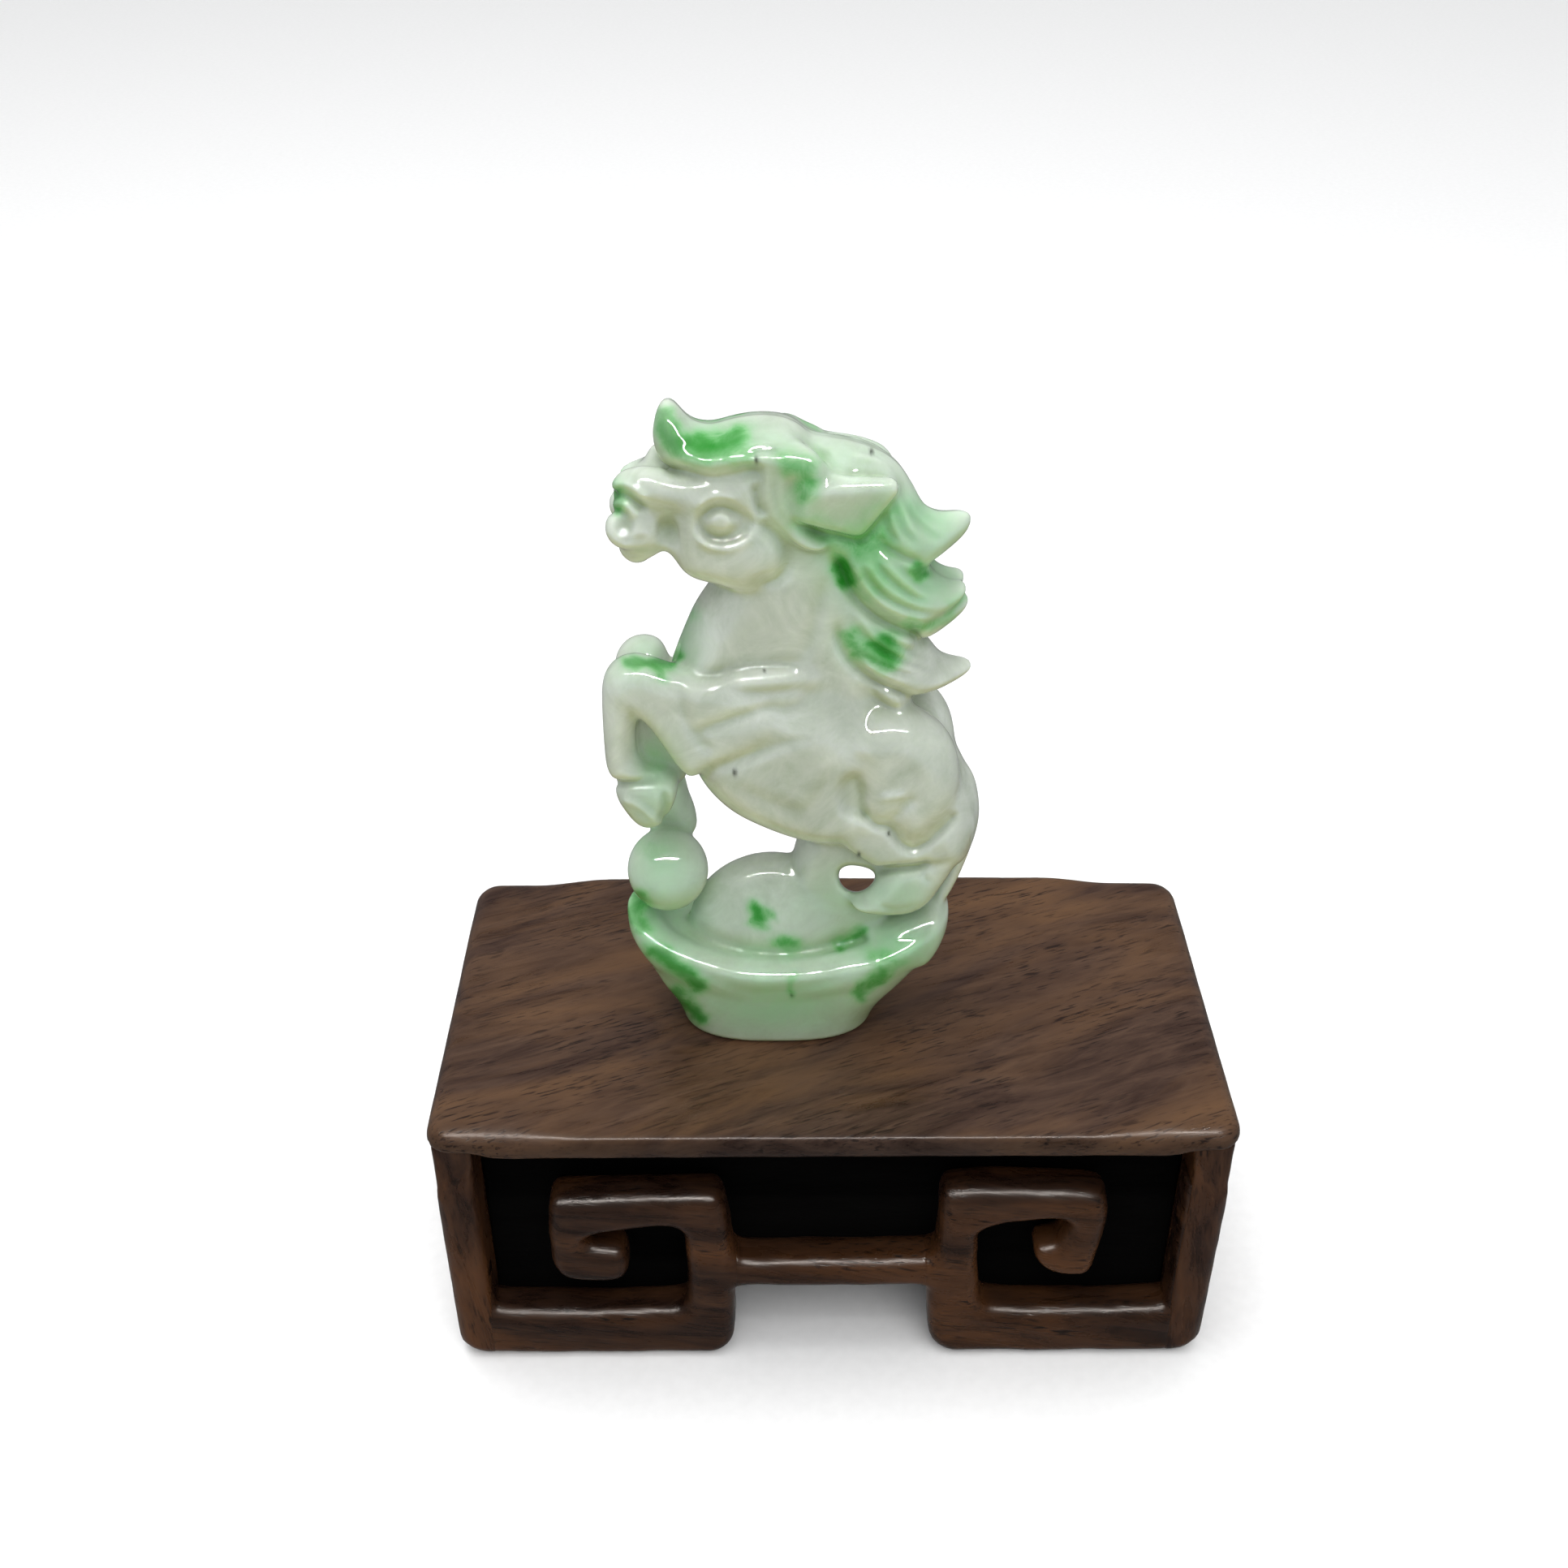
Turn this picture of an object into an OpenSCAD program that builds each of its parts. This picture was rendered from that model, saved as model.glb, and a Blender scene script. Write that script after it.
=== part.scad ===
// Carved jade horse, rearing on a boat-shaped ingot, on a small rosewood stand with key-fret feet.
// Millimetres, +Z up, origin on the table at the centre of the stand, the horse looks towards -X.

/* [Stand] */
// Width of the stand's top board
stand_w = 100; // [92:1:112]
// Depth of the stand's top board
stand_d = 51; // [48:1:60]
// Height of the stand
stand_h = 42; // [40:1:50]
// Thickness of the top board
board_t = 3.8; // [3.4:0.1:5]
// Thickness of each side board
side_t = 5; // [4.5:0.1:6]
// How far the top board stands proud of the boards under it
overhang = 0.4; // [0.2:0.1:1]

/* [Key fret] */
// Thickness of a carved fret, front to back
fret_t = 6; // [5:0.5:8]
// Width of a fret, from the side board to the arch
fret_w = 32.1; // [30:0.1:34]
// Height of the bar that a fret stands on
foot_h = 8; // [7:0.5:9]
// Width of the upright beside the arch
upright_w = 6; // [5:0.5:7]
// Height of the top of the scroll
scroll_top = 30.8; // [29:0.1:32]
// Height of the underside of the scroll's hook
hook_bottom = 14.5; // [13:0.1:15]
// Width of the scroll's bars
scroll_bar = 5.3; // [4.5:0.1:5.5]
// Distance from the side board to the scroll
scroll_gap = 8.6; // [7:0.1:10]
// Height of the stretcher's underside, which is the top of the arch
arch_h = 13.2; // [11:0.1:14]
// Height of the stretcher's own section
stretcher_h = 5.4; // [4:0.1:7]

/* [Joinery] */
// Thickness of the black ground panel behind each pair of frets
ground_t = 3; // [2:0.5:4]
// Radius of the wooden dowels
dowel_r = 0.9; // [0.6:0.1:1]
// Glue clearance round each dowel and tenon
glue_gap = 0.05; // [0.03:0.01:0.1]
// Length of the stretcher's tenons
tenon = 2.5; // [1.5:0.5:3]
// Thickness of the stretcher's tenons
tenon_t = 2; // [1.5:0.5:3]

/* [Figurine] */
// Half length of the ingot's foot
foot_rx = 13.2; // [12:0.1:14]
// Half depth of the ingot's foot
foot_ry = 8.7; // [8:0.1:9.5]
// Centre of the ingot's foot, from the middle of the stand
foot_x = -6.8; // [-10:0.1:0]

/* [Hidden] */

// Colours of the stone and of the two finishes of the wood.
jade = [0.72, 0.80, 0.70];
rosewood = [0.24, 0.15, 0.10];
black_wood = [0.05, 0.04, 0.04];

// Outer faces of the boards under the top, and the levels they share.
side_x = stand_w / 2 - overhang;
face_y = stand_d / 2 - overhang;
under_top = stand_h - board_t;
side_inner = side_x - side_t;
arch_x = side_inner - fret_w;
// Corner radii of the carving: board edges, the stand's outer corners, and inside corners.
edge_r = 1.5;
corner_r = 3;
small_r = 1;
arc_steps = 6;
// The ground panel stops just above the table, so that the feet carry the stand.
panel_lift = 0.3;
dowel_fn = 32;
dowel_up = 1.9;
dowel_down = 5;
dowel_gap = 0.1;
top_dowel_l = dowel_up + dowel_down - dowel_gap;
top_dowel_y = stand_d * 0.28;
fret_dowel_l = 7;
// Shoulder above and below each tenon.
tenon_step = 1;

// ---------- outlines with rounded corners ----------

// The arc that replaces corner p, between its neighbours a and b, at radius p[2].
function corner_arc(a, p, b) =
    p[2] == 0 ? [[p[0], p[1]]] :
    let (u = [a[0] - p[0], a[1] - p[1]], v = [b[0] - p[0], b[1] - p[1]])
    let (un = u / norm(u), vn = v / norm(v))
    let (half = acos(un * vn) / 2, reach = p[2] / tan(half), mid = (un + vn) / norm(un + vn))
    let (c = [p[0], p[1]] + mid * p[2] / sin(half))
    let (s = [p[0], p[1]] + un * reach - c, e = [p[0], p[1]] + vn * reach - c)
    let (start = atan2(s[1], s[0]), turn = atan2(s[0] * e[1] - s[1] * e[0], s * e))
    [for (i = [0 : arc_steps]) c + p[2] * [cos(start + turn * i / arc_steps), sin(start + turn * i / arc_steps)]];

// A closed outline from corners [x, y, radius].
function rounded(p) = [
    for (i = [0 : len(p) - 1])
        each corner_arc(p[(i + len(p) - 1) % len(p)], p[i], p[(i + 1) % len(p)])
];

function box_corners(x0, y0, x1, y1, r) = [[x0, y0, r], [x1, y0, r], [x1, y1, r], [x0, y1, r]];

// An outline drawn in the X-Z plane, given thickness along Y from y0.
module standing(outline, y0, t) {
    translate([0, y0 + t, 0]) rotate([90, 0, 0]) linear_extrude(t) polygon(outline);
}

// ---------- the stand ----------

// Rounded in plan and along all its long edges: three crossing prisms.
module top_board() {
    color(rosewood) difference() {
        intersection() {
            translate([0, 0, under_top]) linear_extrude(board_t)
                polygon(rounded(box_corners(-stand_w / 2, -stand_d / 2, stand_w / 2, stand_d / 2, corner_r)));
            standing(rounded(box_corners(-stand_w / 2, under_top, stand_w / 2, stand_h, edge_r)),
                -stand_d / 2, stand_d);
            rotate([90, 0, 90]) translate([0, 0, -stand_w / 2]) linear_extrude(stand_w)
                polygon(rounded(box_corners(-stand_d / 2, under_top, stand_d / 2, stand_h, edge_r)));
        }
        at_top_dowels() dowel(dowel_r + glue_gap, dowel_up + dowel_down);
    }
}

// The left side board: its outer bottom corner is rounded, as are its front and back edges.
module side_board() {
    color(rosewood) difference() {
        intersection() {
            standing(rounded([[-side_x, 0, corner_r], [-side_inner, 0, 0], [-side_inner, under_top, 0],
                [-side_x, under_top, 0]]), -face_y, 2 * face_y);
            linear_extrude(stand_h) polygon(rounded([[-side_x, -face_y, edge_r], [-side_inner, -face_y, 0],
                [-side_inner, face_y, 0], [-side_x, face_y, edge_r]]));
        }
        at_top_dowels() dowel(dowel_r + glue_gap, dowel_up + dowel_down);
        at_fret_dowels() fret_dowel(dowel_r + glue_gap);
    }
}

// Corners of the left fret, from the side board: foot bar, upright, scroll, drop and hook.
function fret_corners() =
    let (x0 = -side_inner, x1 = x0 + fret_w, sx = x0 + scroll_gap, hook_x = sx + 9.6)
    [[x0, 0, 0], [x1, 0, 2], [x1, scroll_top, small_r], [sx, scroll_top, small_r], [sx, hook_bottom, 2.2],
        [hook_x, hook_bottom, 1.6], [hook_x, hook_bottom + scroll_bar, 1.6],
        [sx + scroll_bar, hook_bottom + scroll_bar, small_r],
        [sx + scroll_bar, scroll_top - scroll_bar, small_r],
        [x1 - upright_w, scroll_top - scroll_bar, 1.8], [x1 - upright_w, foot_h, small_r], [x0, foot_h, 0]];

module fret() {
    color(rosewood) difference() {
        standing(rounded(fret_corners()), -face_y, fret_t);
        translate([-arch_x - tenon, -face_y + (fret_t - tenon_t) / 2, arch_h + tenon_step])
            translate([-glue_gap, -glue_gap, -glue_gap])
                cube([tenon + 1, tenon_t + 2 * glue_gap, stretcher_h - 2 * tenon_step + 2 * glue_gap]);
        at_fret_dowels() fret_dowel(dowel_r + glue_gap);
    }
}

// Rail between the two frets, with a tenon at each end.
module stretcher() {
    color(rosewood) union() {
        translate([-arch_x, 0, 0]) rotate([90, 0, 90]) linear_extrude(2 * arch_x)
            polygon(rounded(box_corners(-face_y, arch_h, -face_y + fret_t, arch_h + stretcher_h, small_r)));
        translate([-arch_x - tenon, -face_y + (fret_t - tenon_t) / 2, arch_h + tenon_step])
            cube([2 * (arch_x + tenon), tenon_t, stretcher_h - 2 * tenon_step]);
    }
}

// Black board behind the frets, cut out over the arch.
module ground_panel() {
    color(black_wood) standing([[-side_inner, panel_lift], [-arch_x, panel_lift], [-arch_x, arch_h],
        [arch_x, arch_h], [arch_x, panel_lift], [side_inner, panel_lift], [side_inner, under_top],
        [-side_inner, under_top]], -face_y + fret_t, ground_t);
}

// A dowel standing on its lower end, at the level where the side boards' dowels start.
module dowel(r, length) {
    translate([0, 0, under_top - dowel_down]) cylinder(r = r, h = length, $fn = dowel_fn);
}

// Two dowels in the top edge of each side board.
module at_top_dowels() {
    for (x = [-1, 1], y = [-1, 1])
        translate([x * (side_inner + side_t / 2), y * top_dowel_y, 0]) children();
}

// One dowel from each side board into the foot bar of each fret.
module at_fret_dowels() {
    for (x = [-1, 1], y = [-1, 1])
        translate([x * (side_inner - fret_dowel_l / 2), y * (face_y - fret_t / 2), foot_h / 2])
            rotate([0, x * 90, 0]) children();
}

module fret_dowel(r) {
    cylinder(r = r, h = fret_dowel_l, $fn = dowel_fn);
}

module top_dowels() {
    color(rosewood) at_top_dowels() dowel(dowel_r, top_dowel_l);
}

module fret_dowels() {
    color(rosewood) at_fret_dowels() fret_dowel(dowel_r);
}

module back() { rotate([0, 0, 180]) children(); }

module right() { mirror([1, 0, 0]) children(); }

// ---------- the figurine, one piece of jade ----------

// One round of a limb: p = [x, y, z, radius], squeezed front to back by k.
module knob(p, k) {
    translate([p[0], p[1], p[2]]) scale([1, k, 1]) sphere(r = p[3], $fn = 14);
}

// A limb, lock or body section: neighbouring knobs joined by their hull.
module limb(points, k = 1) {
    for (i = [0 : len(points) - 2])
        hull() {
            knob(points[i], k);
            knob(points[i + 1], k);
        }
}

// Boat-shaped ingot: an oval foot that flares into a rim with raised tips, round a dome.
module ingot() {
    rim_z = 12;
    difference() {
        hull() {
            translate([foot_x, 0, 0]) scale([foot_rx, foot_ry, 1]) cylinder(r = 1, h = 0.5, $fn = 40);
            translate([foot_x, 0, rim_z - 1]) scale([foot_rx + 4, foot_ry + 1, 1])
                cylinder(r = 1, h = 1, $fn = 40);
            translate([foot_x - 17.4, 0, 15.8]) scale([1, 3, 1]) sphere(r = 1.1, $fn = 14);
            translate([foot_x + 18, 0, 14.5]) scale([1, 3, 1]) sphere(r = 1.1, $fn = 14);
        }
        for (side = [-1, 1])
            translate([foot_x, side * 18, 20]) rotate([90, 0, 0])
                scale([1.9, 1, 1]) cylinder(r = 8, h = 22, center = true, $fn = 32);
    }
    translate([foot_x - 0.8, 0.3, 12.4]) scale([9.8, 7.4, 11]) sphere(r = 1, $fn = 28);
}

module jade_horse() {
    color(jade) translate([0, 0, stand_h]) {
        ingot();
        // ball under the raised hooves
        limb([[-20.4, -2, 22.6, 5.1], [-20.4, -1.6, 24, 5]]);
        // barrel, chest and rump
        limb([[-11, 0, 44.5, 7.4], [-8, 0, 39.5, 7.8], [-3, 0, 36.8, 8.2], [4, 0, 36, 8.6], [8.3, 0, 34.5, 9.4]]);
        limb([[-10.4, 0, 46, 7.8], [-9.8, 0, 52, 7.4], [-7.6, 0, 60, 7], [-5.6, 0, 67, 6.4]], 0.85);
        limb([[1, 0, 42, 8], [-1.6, 0, 50, 7.6], [-1, 0, 60, 7.2], [-0.6, 0, 69, 6.8]], 0.85);
        // head: cheek, face, nostrils, chin
        limb([[-5.6, 0, 70.5, 6.6], [-10.5, 0, 70.6, 6.4], [-16, 0, 70.8, 4.8], [-21.6, 0, 72.8, 3.9],
            [-24, 0, 71.2, 2.2]], 0.8);
        limb([[-16, 0, 68, 3], [-22, 0, 66.8, 1.9]], 1.2);
        // forelock
        limb([[-2, 0, 77, 4.2], [-7, 0, 78.6, 4.4], [-12, 0, 78.2, 3.6], [-16.6, 0, 79.2, 2.6],
            [-18.6, 0, 83.2, 0.9]]);
        // mane, from the poll to the withers, and its three locks
        limb([[-1, 0, 75, 5.6], [3.4, 0, 73, 5.4], [4.4, 0, 65, 5.6], [4, 0, 57, 5.8], [3.4, 0, 49, 6.4]], 0.9);
        limb([[4, 0, 75, 4.4], [9, 0, 70, 2.6], [12.4, 0, 69.4, 1.7], [14.2, 0, 70.8, 0.9]], 0.9);
        limb([[5, 0, 65, 4.6], [8.6, 0, 60, 2.8], [12, 0, 58.6, 1.8], [14.4, 0, 60.2, 0.9]], 0.9);
        limb([[4, 0, 55, 4.6], [8.8, 0, 51, 2.8], [12.4, 0, 50.4, 1.7], [15.2, 0, 51.8, 0.8]], 0.9);
        // ears, one on each side
        for (side = [-1, 1])
            limb([[-2, side * 4.4, 73, 2], [2, side * 4.8, 71.8, 2.4], [6, side * 4.2, 74.6, 0.9]], 0.6);
        // forelegs: near and far
        limb([[-9, -3.6, 46, 5.6], [-15.6, -5, 40.6, 3.8], [-22.6, -5, 50.4, 3.7], [-23.9, -5, 44, 3],
            [-24.2, -5, 38.6, 2.4], [-22.4, -4.6, 33.4, 2.9]]);
        limb([[-10, 3.6, 45, 5], [-16, 4.6, 41, 3.4], [-22, 4.4, 48.4, 3.4], [-20.4, 4, 41, 2.4],
            [-18.6, 3, 34, 2.2], [-17.6, 2, 27, 2.6]]);
        // hind legs: near, with its hoof on the ingot's tip, and far
        limb([[8, -3, 37, 7], [3.4, -4.8, 31.4, 3.8], [13.6, -3.6, 28, 2.9], [8.6, -4.4, 19.4, 3],
            [11, -4.2, 15, 3.6]]);
        limb([[7, 3, 36, 6.6], [0, 4.4, 30, 3.6], [-1.6, 4.2, 24, 2.6], [-1, 4, 17, 2.6]]);
        // web of stone left between the forelegs
        limb([[-21, 0, 44, 3.2], [-20, 0, 36, 3.2]]);
        // tail, close against the rump
        limb([[13.4, 0, 42, 2.4], [16, 0, 34, 2.2], [14.8, 0, 25, 2.2], [12.6, 0, 17, 1.8]], 1.3);
    }
}

jade_horse();
top_board();
side_board();  // left_side_board
right() side_board();  // right_side_board
fret();  // front_left_fret
right() fret();  // front_right_fret
back() right() fret();  // back_left_fret
back() fret();  // back_right_fret
stretcher();  // front_stretcher
back() stretcher();  // back_stretcher
ground_panel();  // front_ground_panel
back() ground_panel();  // back_ground_panel
top_dowels();
fret_dowels();
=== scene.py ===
"""Carved jade horse on a small rosewood stand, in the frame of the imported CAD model."""
import math

import bpy
import numpy as np
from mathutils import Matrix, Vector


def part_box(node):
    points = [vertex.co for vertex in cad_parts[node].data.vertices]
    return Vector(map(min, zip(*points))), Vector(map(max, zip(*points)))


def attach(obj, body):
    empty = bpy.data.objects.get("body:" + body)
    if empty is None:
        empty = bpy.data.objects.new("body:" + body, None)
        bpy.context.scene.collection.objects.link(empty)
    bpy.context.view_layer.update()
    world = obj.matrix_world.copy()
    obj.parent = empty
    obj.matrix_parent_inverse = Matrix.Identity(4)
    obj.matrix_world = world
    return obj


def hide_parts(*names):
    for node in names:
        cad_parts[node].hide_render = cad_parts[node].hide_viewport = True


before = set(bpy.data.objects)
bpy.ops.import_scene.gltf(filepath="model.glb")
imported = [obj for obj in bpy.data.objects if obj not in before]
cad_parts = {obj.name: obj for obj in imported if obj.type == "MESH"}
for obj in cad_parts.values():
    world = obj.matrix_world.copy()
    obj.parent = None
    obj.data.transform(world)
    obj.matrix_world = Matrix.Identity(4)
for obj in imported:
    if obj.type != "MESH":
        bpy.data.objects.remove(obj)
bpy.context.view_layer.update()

import openvdb
from mathutils import Matrix, Vector

MM = 0.001


def add_object(name, data):
    made = bpy.data.objects.new(name, data)
    bpy.context.collection.objects.link(made)
    return made


# ---------------------------------------------------------------- camera

LENS = 41.256
SENSOR = 36.0
CAMERA_AT = Vector((-6.003, -179.253, 200.893)) * MM
PITCH_DOWN = 34.822
YAW = -0.038
ROLL = -0.208


def make_camera():
    data = bpy.data.cameras.new("camera")
    data.lens = LENS
    data.sensor_width = SENSOR
    data.clip_start = 0.01
    camera = add_object("camera", data)
    turn = (
        Matrix.Rotation(math.radians(YAW), 4, "Z")
        @ Matrix.Rotation(math.radians(90 - PITCH_DOWN), 4, "X")
        @ Matrix.Rotation(math.radians(ROLL), 4, "Z")
    )
    camera.matrix_world = Matrix.Translation(CAMERA_AT) @ turn
    bpy.context.scene.camera = camera


# ---------------------------------------------------------------- clay: a signed distance field

# Outlines below are drawn on the carving's middle plane, as seen from the front viewpoint.
# seen() carries such a point to another depth along the line of sight.
EYE = np.array([-6.0, -179.25, 200.9])
MID = -1.0
# The distance given to points far from any stone, and a place outside every block.
FAR = 9.0
ALL = 99.0
# How far from the middle plane the carving's surface can lie.
REACH = 10.0
# Nothing is engraved nearer the middle plane than SHALLOW, and it fades in over FADE_IN from there,
# so that a line doesn't notch the silhouette.
SHALLOW = 1.5
FADE_IN = 1.5
# Room left round a shape, within which it can blend into what is there.
ROOM = 2.5


def seen(points, y):
    """Points (x, z) drawn on the middle plane, carried to depth y along the line of sight."""
    s = (y - EYE[1]) / (MID - EYE[1])
    p = np.asarray(points, float)
    return EYE[[0, 2]] + (p - EYE[[0, 2]]) * s


def as_seen(x, y, z, fold=True):
    """Where true points appear on the middle plane; folded, the back appears as the front does."""
    depth = MID - np.abs(y - MID) if fold else y
    s = (MID - EYE[1]) / (depth - EYE[1])
    return EYE[0] + (x - EYE[0]) * s, EYE[2] + (z - EYE[2]) * s


def smooth_outline(points, rounds=2, closed=True):
    """Corner cutting: each round replaces every corner by two points."""
    p = np.asarray(points, float)
    for _ in range(rounds):
        q = np.roll(p, -1, 0)
        cut = np.stack([0.75 * p + 0.25 * q, 0.25 * p + 0.75 * q], 1)
        if closed:
            p = cut.reshape(-1, p.shape[1])
        else:
            p = np.concatenate([p[:1], cut[:-1].reshape(-1, p.shape[1]), p[-1:]])
    return p


def spline(points, per=5):
    """Catmull-Rom curve through the points, of any number of columns."""
    p = np.asarray(points, float)
    p = np.concatenate([2 * p[:1] - p[1:2], p, 2 * p[-1:] - p[-2:-1]])
    out = []
    for a, b, c, d in zip(p, p[1:], p[2:], p[3:]):
        for t in np.arange(per) / per:
            out.append(
                0.5 * (2 * b + (c - a) * t + (2 * a - 5 * b + 4 * c - d) * t**2
                       + (3 * b - a - 3 * c + d) * t**3)
            )
    out.append(p[-2])
    return np.array(out)


def to_path(px, pz, path):
    """Distance to a polyline, and how far along it (0 to 1) the nearest point is."""
    best = np.full(np.broadcast(px, pz).shape, 1e9, np.float32)
    along = np.zeros_like(best)
    n = len(path) - 1
    for i, (a, b) in enumerate(zip(path, path[1:])):
        e = b - a
        t = np.clip(((px - a[0]) * e[0] + (pz - a[1]) * e[1]) / max(e @ e, 1e-9), 0, 1)
        d = (px - a[0] - t * e[0]) ** 2 + (pz - a[1] - t * e[1]) ** 2
        near = d < best
        best = np.where(near, d, best)
        along = np.where(near, (i + t) / n, along)
    return np.sqrt(best), along


def inside_outline(px, pz, outline):
    inside = np.zeros(np.broadcast(px, pz).shape, bool)
    for a, b in zip(outline, np.roll(outline, -1, 0)):
        if a[1] == b[1]:
            continue
        crosses = (a[1] > pz) != (b[1] > pz)
        inside ^= crosses & (px < (b[0] - a[0]) * (pz - a[1]) / (b[1] - a[1]) + a[0])
    return inside


def to_outline(px, pz, outline):
    """Signed distance to a closed outline: negative inside it."""
    dist, _ = to_path(px, pz, np.concatenate([outline, outline[:1]]))
    return np.where(inside_outline(px, pz, outline), -dist, dist)


def to_tube(px, py, pz, path, squash=(1.0, 1.0)):
    """Distance to a round limb whose path has rows (x, z, y, radius); squash widens it in y and z."""
    best = np.full(np.broadcast(px, py, pz).shape, FAR, np.float32)
    for a, b in zip(path, path[1:]):
        e = b[:3] - a[:3]
        t = ((px - a[0]) * e[0] + (pz - a[1]) * e[1] + (py - a[2]) * e[2]) / max(e @ e, 1e-6)
        t = np.clip(t, 0, 1)
        q = (px - a[0] - t * e[0]) ** 2 + ((pz - a[1] - t * e[1]) / squash[1]) ** 2
        q = q + ((py - a[2] - t * e[2]) / squash[0]) ** 2
        best = np.minimum(best, np.sqrt(q) - (a[3] + t * (b[3] - a[3])))
    return best


def smin(a, b, k):
    """The smaller of two distances, blended over k where they are close."""
    h = np.maximum(k - np.abs(a - b), 0) / k
    return np.minimum(a, b) - h * h * k * 0.25


def smooth_step(a, b, x):
    t = np.clip((x - a) / (b - a), 0, 1)
    return t * t * (3 - 2 * t)


class Clay:
    """A block of grid points holding signed distances in millimetres: negative is stone."""

    def __init__(self, low, high, step):
        self.low = np.array(low, float)
        self.step = step
        count = np.round((np.array(high) - self.low) / step).astype(int) + 1
        axes = [(self.low[i] + step * np.arange(count[i])).astype(np.float32) for i in range(3)]
        self.x, self.y, self.z = axes[0][:, None, None], axes[1][None, :, None], axes[2][None, None, :]
        self.d = np.full(count, FAR, np.float32)

    def window(self, low, high):
        """The part of the block between two corners: its slices, and its coordinates."""
        s = []
        for i in range(3):
            a = int(np.floor((low[i] - self.low[i]) / self.step))
            b = int(np.ceil((high[i] - self.low[i]) / self.step)) + 1
            s.append(slice(max(a, 0), max(min(b, self.d.shape[i]), 0)))
        s = tuple(s)
        return s, self.x[s[0]], self.y[:, s[1]], self.z[:, :, s[2]]

    def window_round(self, outlines, pad, front=-ALL, back=ALL):
        """The window that holds some outlines, padded, between two depths."""
        p = np.concatenate(outlines)
        return self.window((p[:, 0].min() - pad, front, p[:, 1].min() - pad),
                           (p[:, 0].max() + pad, back, p[:, 1].max() + pad))

    def add(self, s, d, k):
        self.d[s] = smin(self.d[s], d.astype(np.float32), k)

    def cut(self, s, d, k):
        self.d[s] = -smin(-self.d[s], d.astype(np.float32), k)

    def lobe(self, outline, y, half, dome, k=0.8, at=None, thin=None, rounds=2, grow=0.0):
        """A rounded plaque: an outline in X-Z, thickness half each way about y, domed over its edge.

        at is the depth at which the outline was read, grow widens it, and thin = (x0, x1, f)
        thins the plaque to f from x0 to x1.
        """
        path = smooth_outline(seen(outline, y if at is None else at), rounds)
        s, x, yy, z = self.window_round([path], ROOM, y - half - ROOM, y + half + ROOM)
        flat = to_outline(x, z, path) - grow
        h = half
        if thin:
            h = half * (1 - (1 - thin[2]) * smooth_step(thin[0], thin[1], x))
        u = np.maximum(flat + dome, 0) / dome
        v = np.abs(yy - y) / np.minimum(h, half * 0.999)
        f = np.sqrt(u * u + v * v)
        d = (f - 1) * np.minimum(dome, half) * np.where(f < 1, 0.9, 1.0)
        self.add(s, np.maximum(d, flat), k)

    def facets(self, outline, planes, k):
        """A faceted relief: an outline drawn as seen, and planes through three points (x, z, depth).

        Depths are measured out from the middle plane; where planes cross they meet in a crisp ridge.
        """
        path = smooth_outline(outline, 1)
        deepest = max(corner[2] for plane in planes for corner in plane)
        outlines = [path, seen(path, MID - deepest - 2)]
        s, x, y, z = self.window_round(outlines, 2, MID - deepest - 3, MID + 1)
        sx, sz = as_seen(x, y, z)
        d = to_outline(sx, sz, path)
        for plane in planes:
            a, b, c = (np.array(q, float) for q in plane)
            n = np.cross(b - a, c - a)
            n = n * np.sign(n[2]) / np.linalg.norm(n)
            d = np.maximum(d, (sx - a[0]) * n[0] + (sz - a[1]) * n[1] + (MID - y - a[2]) * n[2])
        self.add(s, d, k)

    def pierce(self, outline, k):
        """A hole right through along the line of sight."""
        path = smooth_outline(outline)
        s, x, y, z = self.window_round([seen(path, MID - REACH), seen(path, MID + REACH)], 2)
        self.cut(s, to_outline(*as_seen(x, y, z, False), path), k)

    def trim_behind(self, skyline, k):
        """Lowers the back, so that nothing on it shows above a skyline drawn as seen."""
        s, x, y, z = self.window((-ALL, MID, skyline[:, 1].min() - 3), (ALL, ALL, 999))
        sx, sz = as_seen(x, y, z, False)
        self.cut(s, -0.8 * (sz - np.interp(sx, skyline[:, 0], skyline[:, 1], 999, 999)), k)

    def off_the_edge(self, y, shallow):
        """0 near the middle plane, where the silhouette is, and 1 further out."""
        return smooth_step(shallow, shallow + FADE_IN, np.abs(y - MID))

    def inset(self, outline, depth, soft=0.4):
        """Sinks (or with a negative depth raises) the surface inside an outline drawn as seen."""
        path = smooth_outline(outline)
        s, x, y, z = self.window_round([path, seen(path, MID - REACH)], 2)
        inside = smooth_step(-soft, soft, -to_outline(*as_seen(x, y, z), path))
        self.d[s] += (depth * inside * self.off_the_edge(y, SHALLOW)).astype(np.float32)

    def line(self, points, width, depth, fade=0.25, shallow=SHALLOW):
        """An engraved line (depth > 0) or a raised one (depth < 0), drawn as seen on the surface.

        fade is the part of its length over which each end dies away; the line is cut only
        further than shallow from the middle plane.
        """
        path = spline(points)
        s, x, y, z = self.window_round([path, seen(path, MID - REACH)], 3 * width + 1)
        dist, along = to_path(*as_seen(x, y, z), path)
        taper = np.minimum(smooth_step(0, fade, along), smooth_step(0, fade, 1 - along))
        taper = taper * self.off_the_edge(y, shallow)
        self.d[s] += (depth * np.exp(-((dist / width) ** 2)) * taper).astype(np.float32)

    def limb(self, points, k):
        """A tapering round limb through points (x, z, y, radius), each drawn as seen."""
        path = np.array([[*seen([q[:2]], q[2])[0], q[2], q[3]] for q in spline(points)])
        r = path[:, 3].max() + ROOM
        s, x, y, z = self.window_round([path[:, :2]], r, path[:, 2].min() - r, path[:, 2].max() + r)
        self.add(s, to_tube(x, y, z, path), k)

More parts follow.
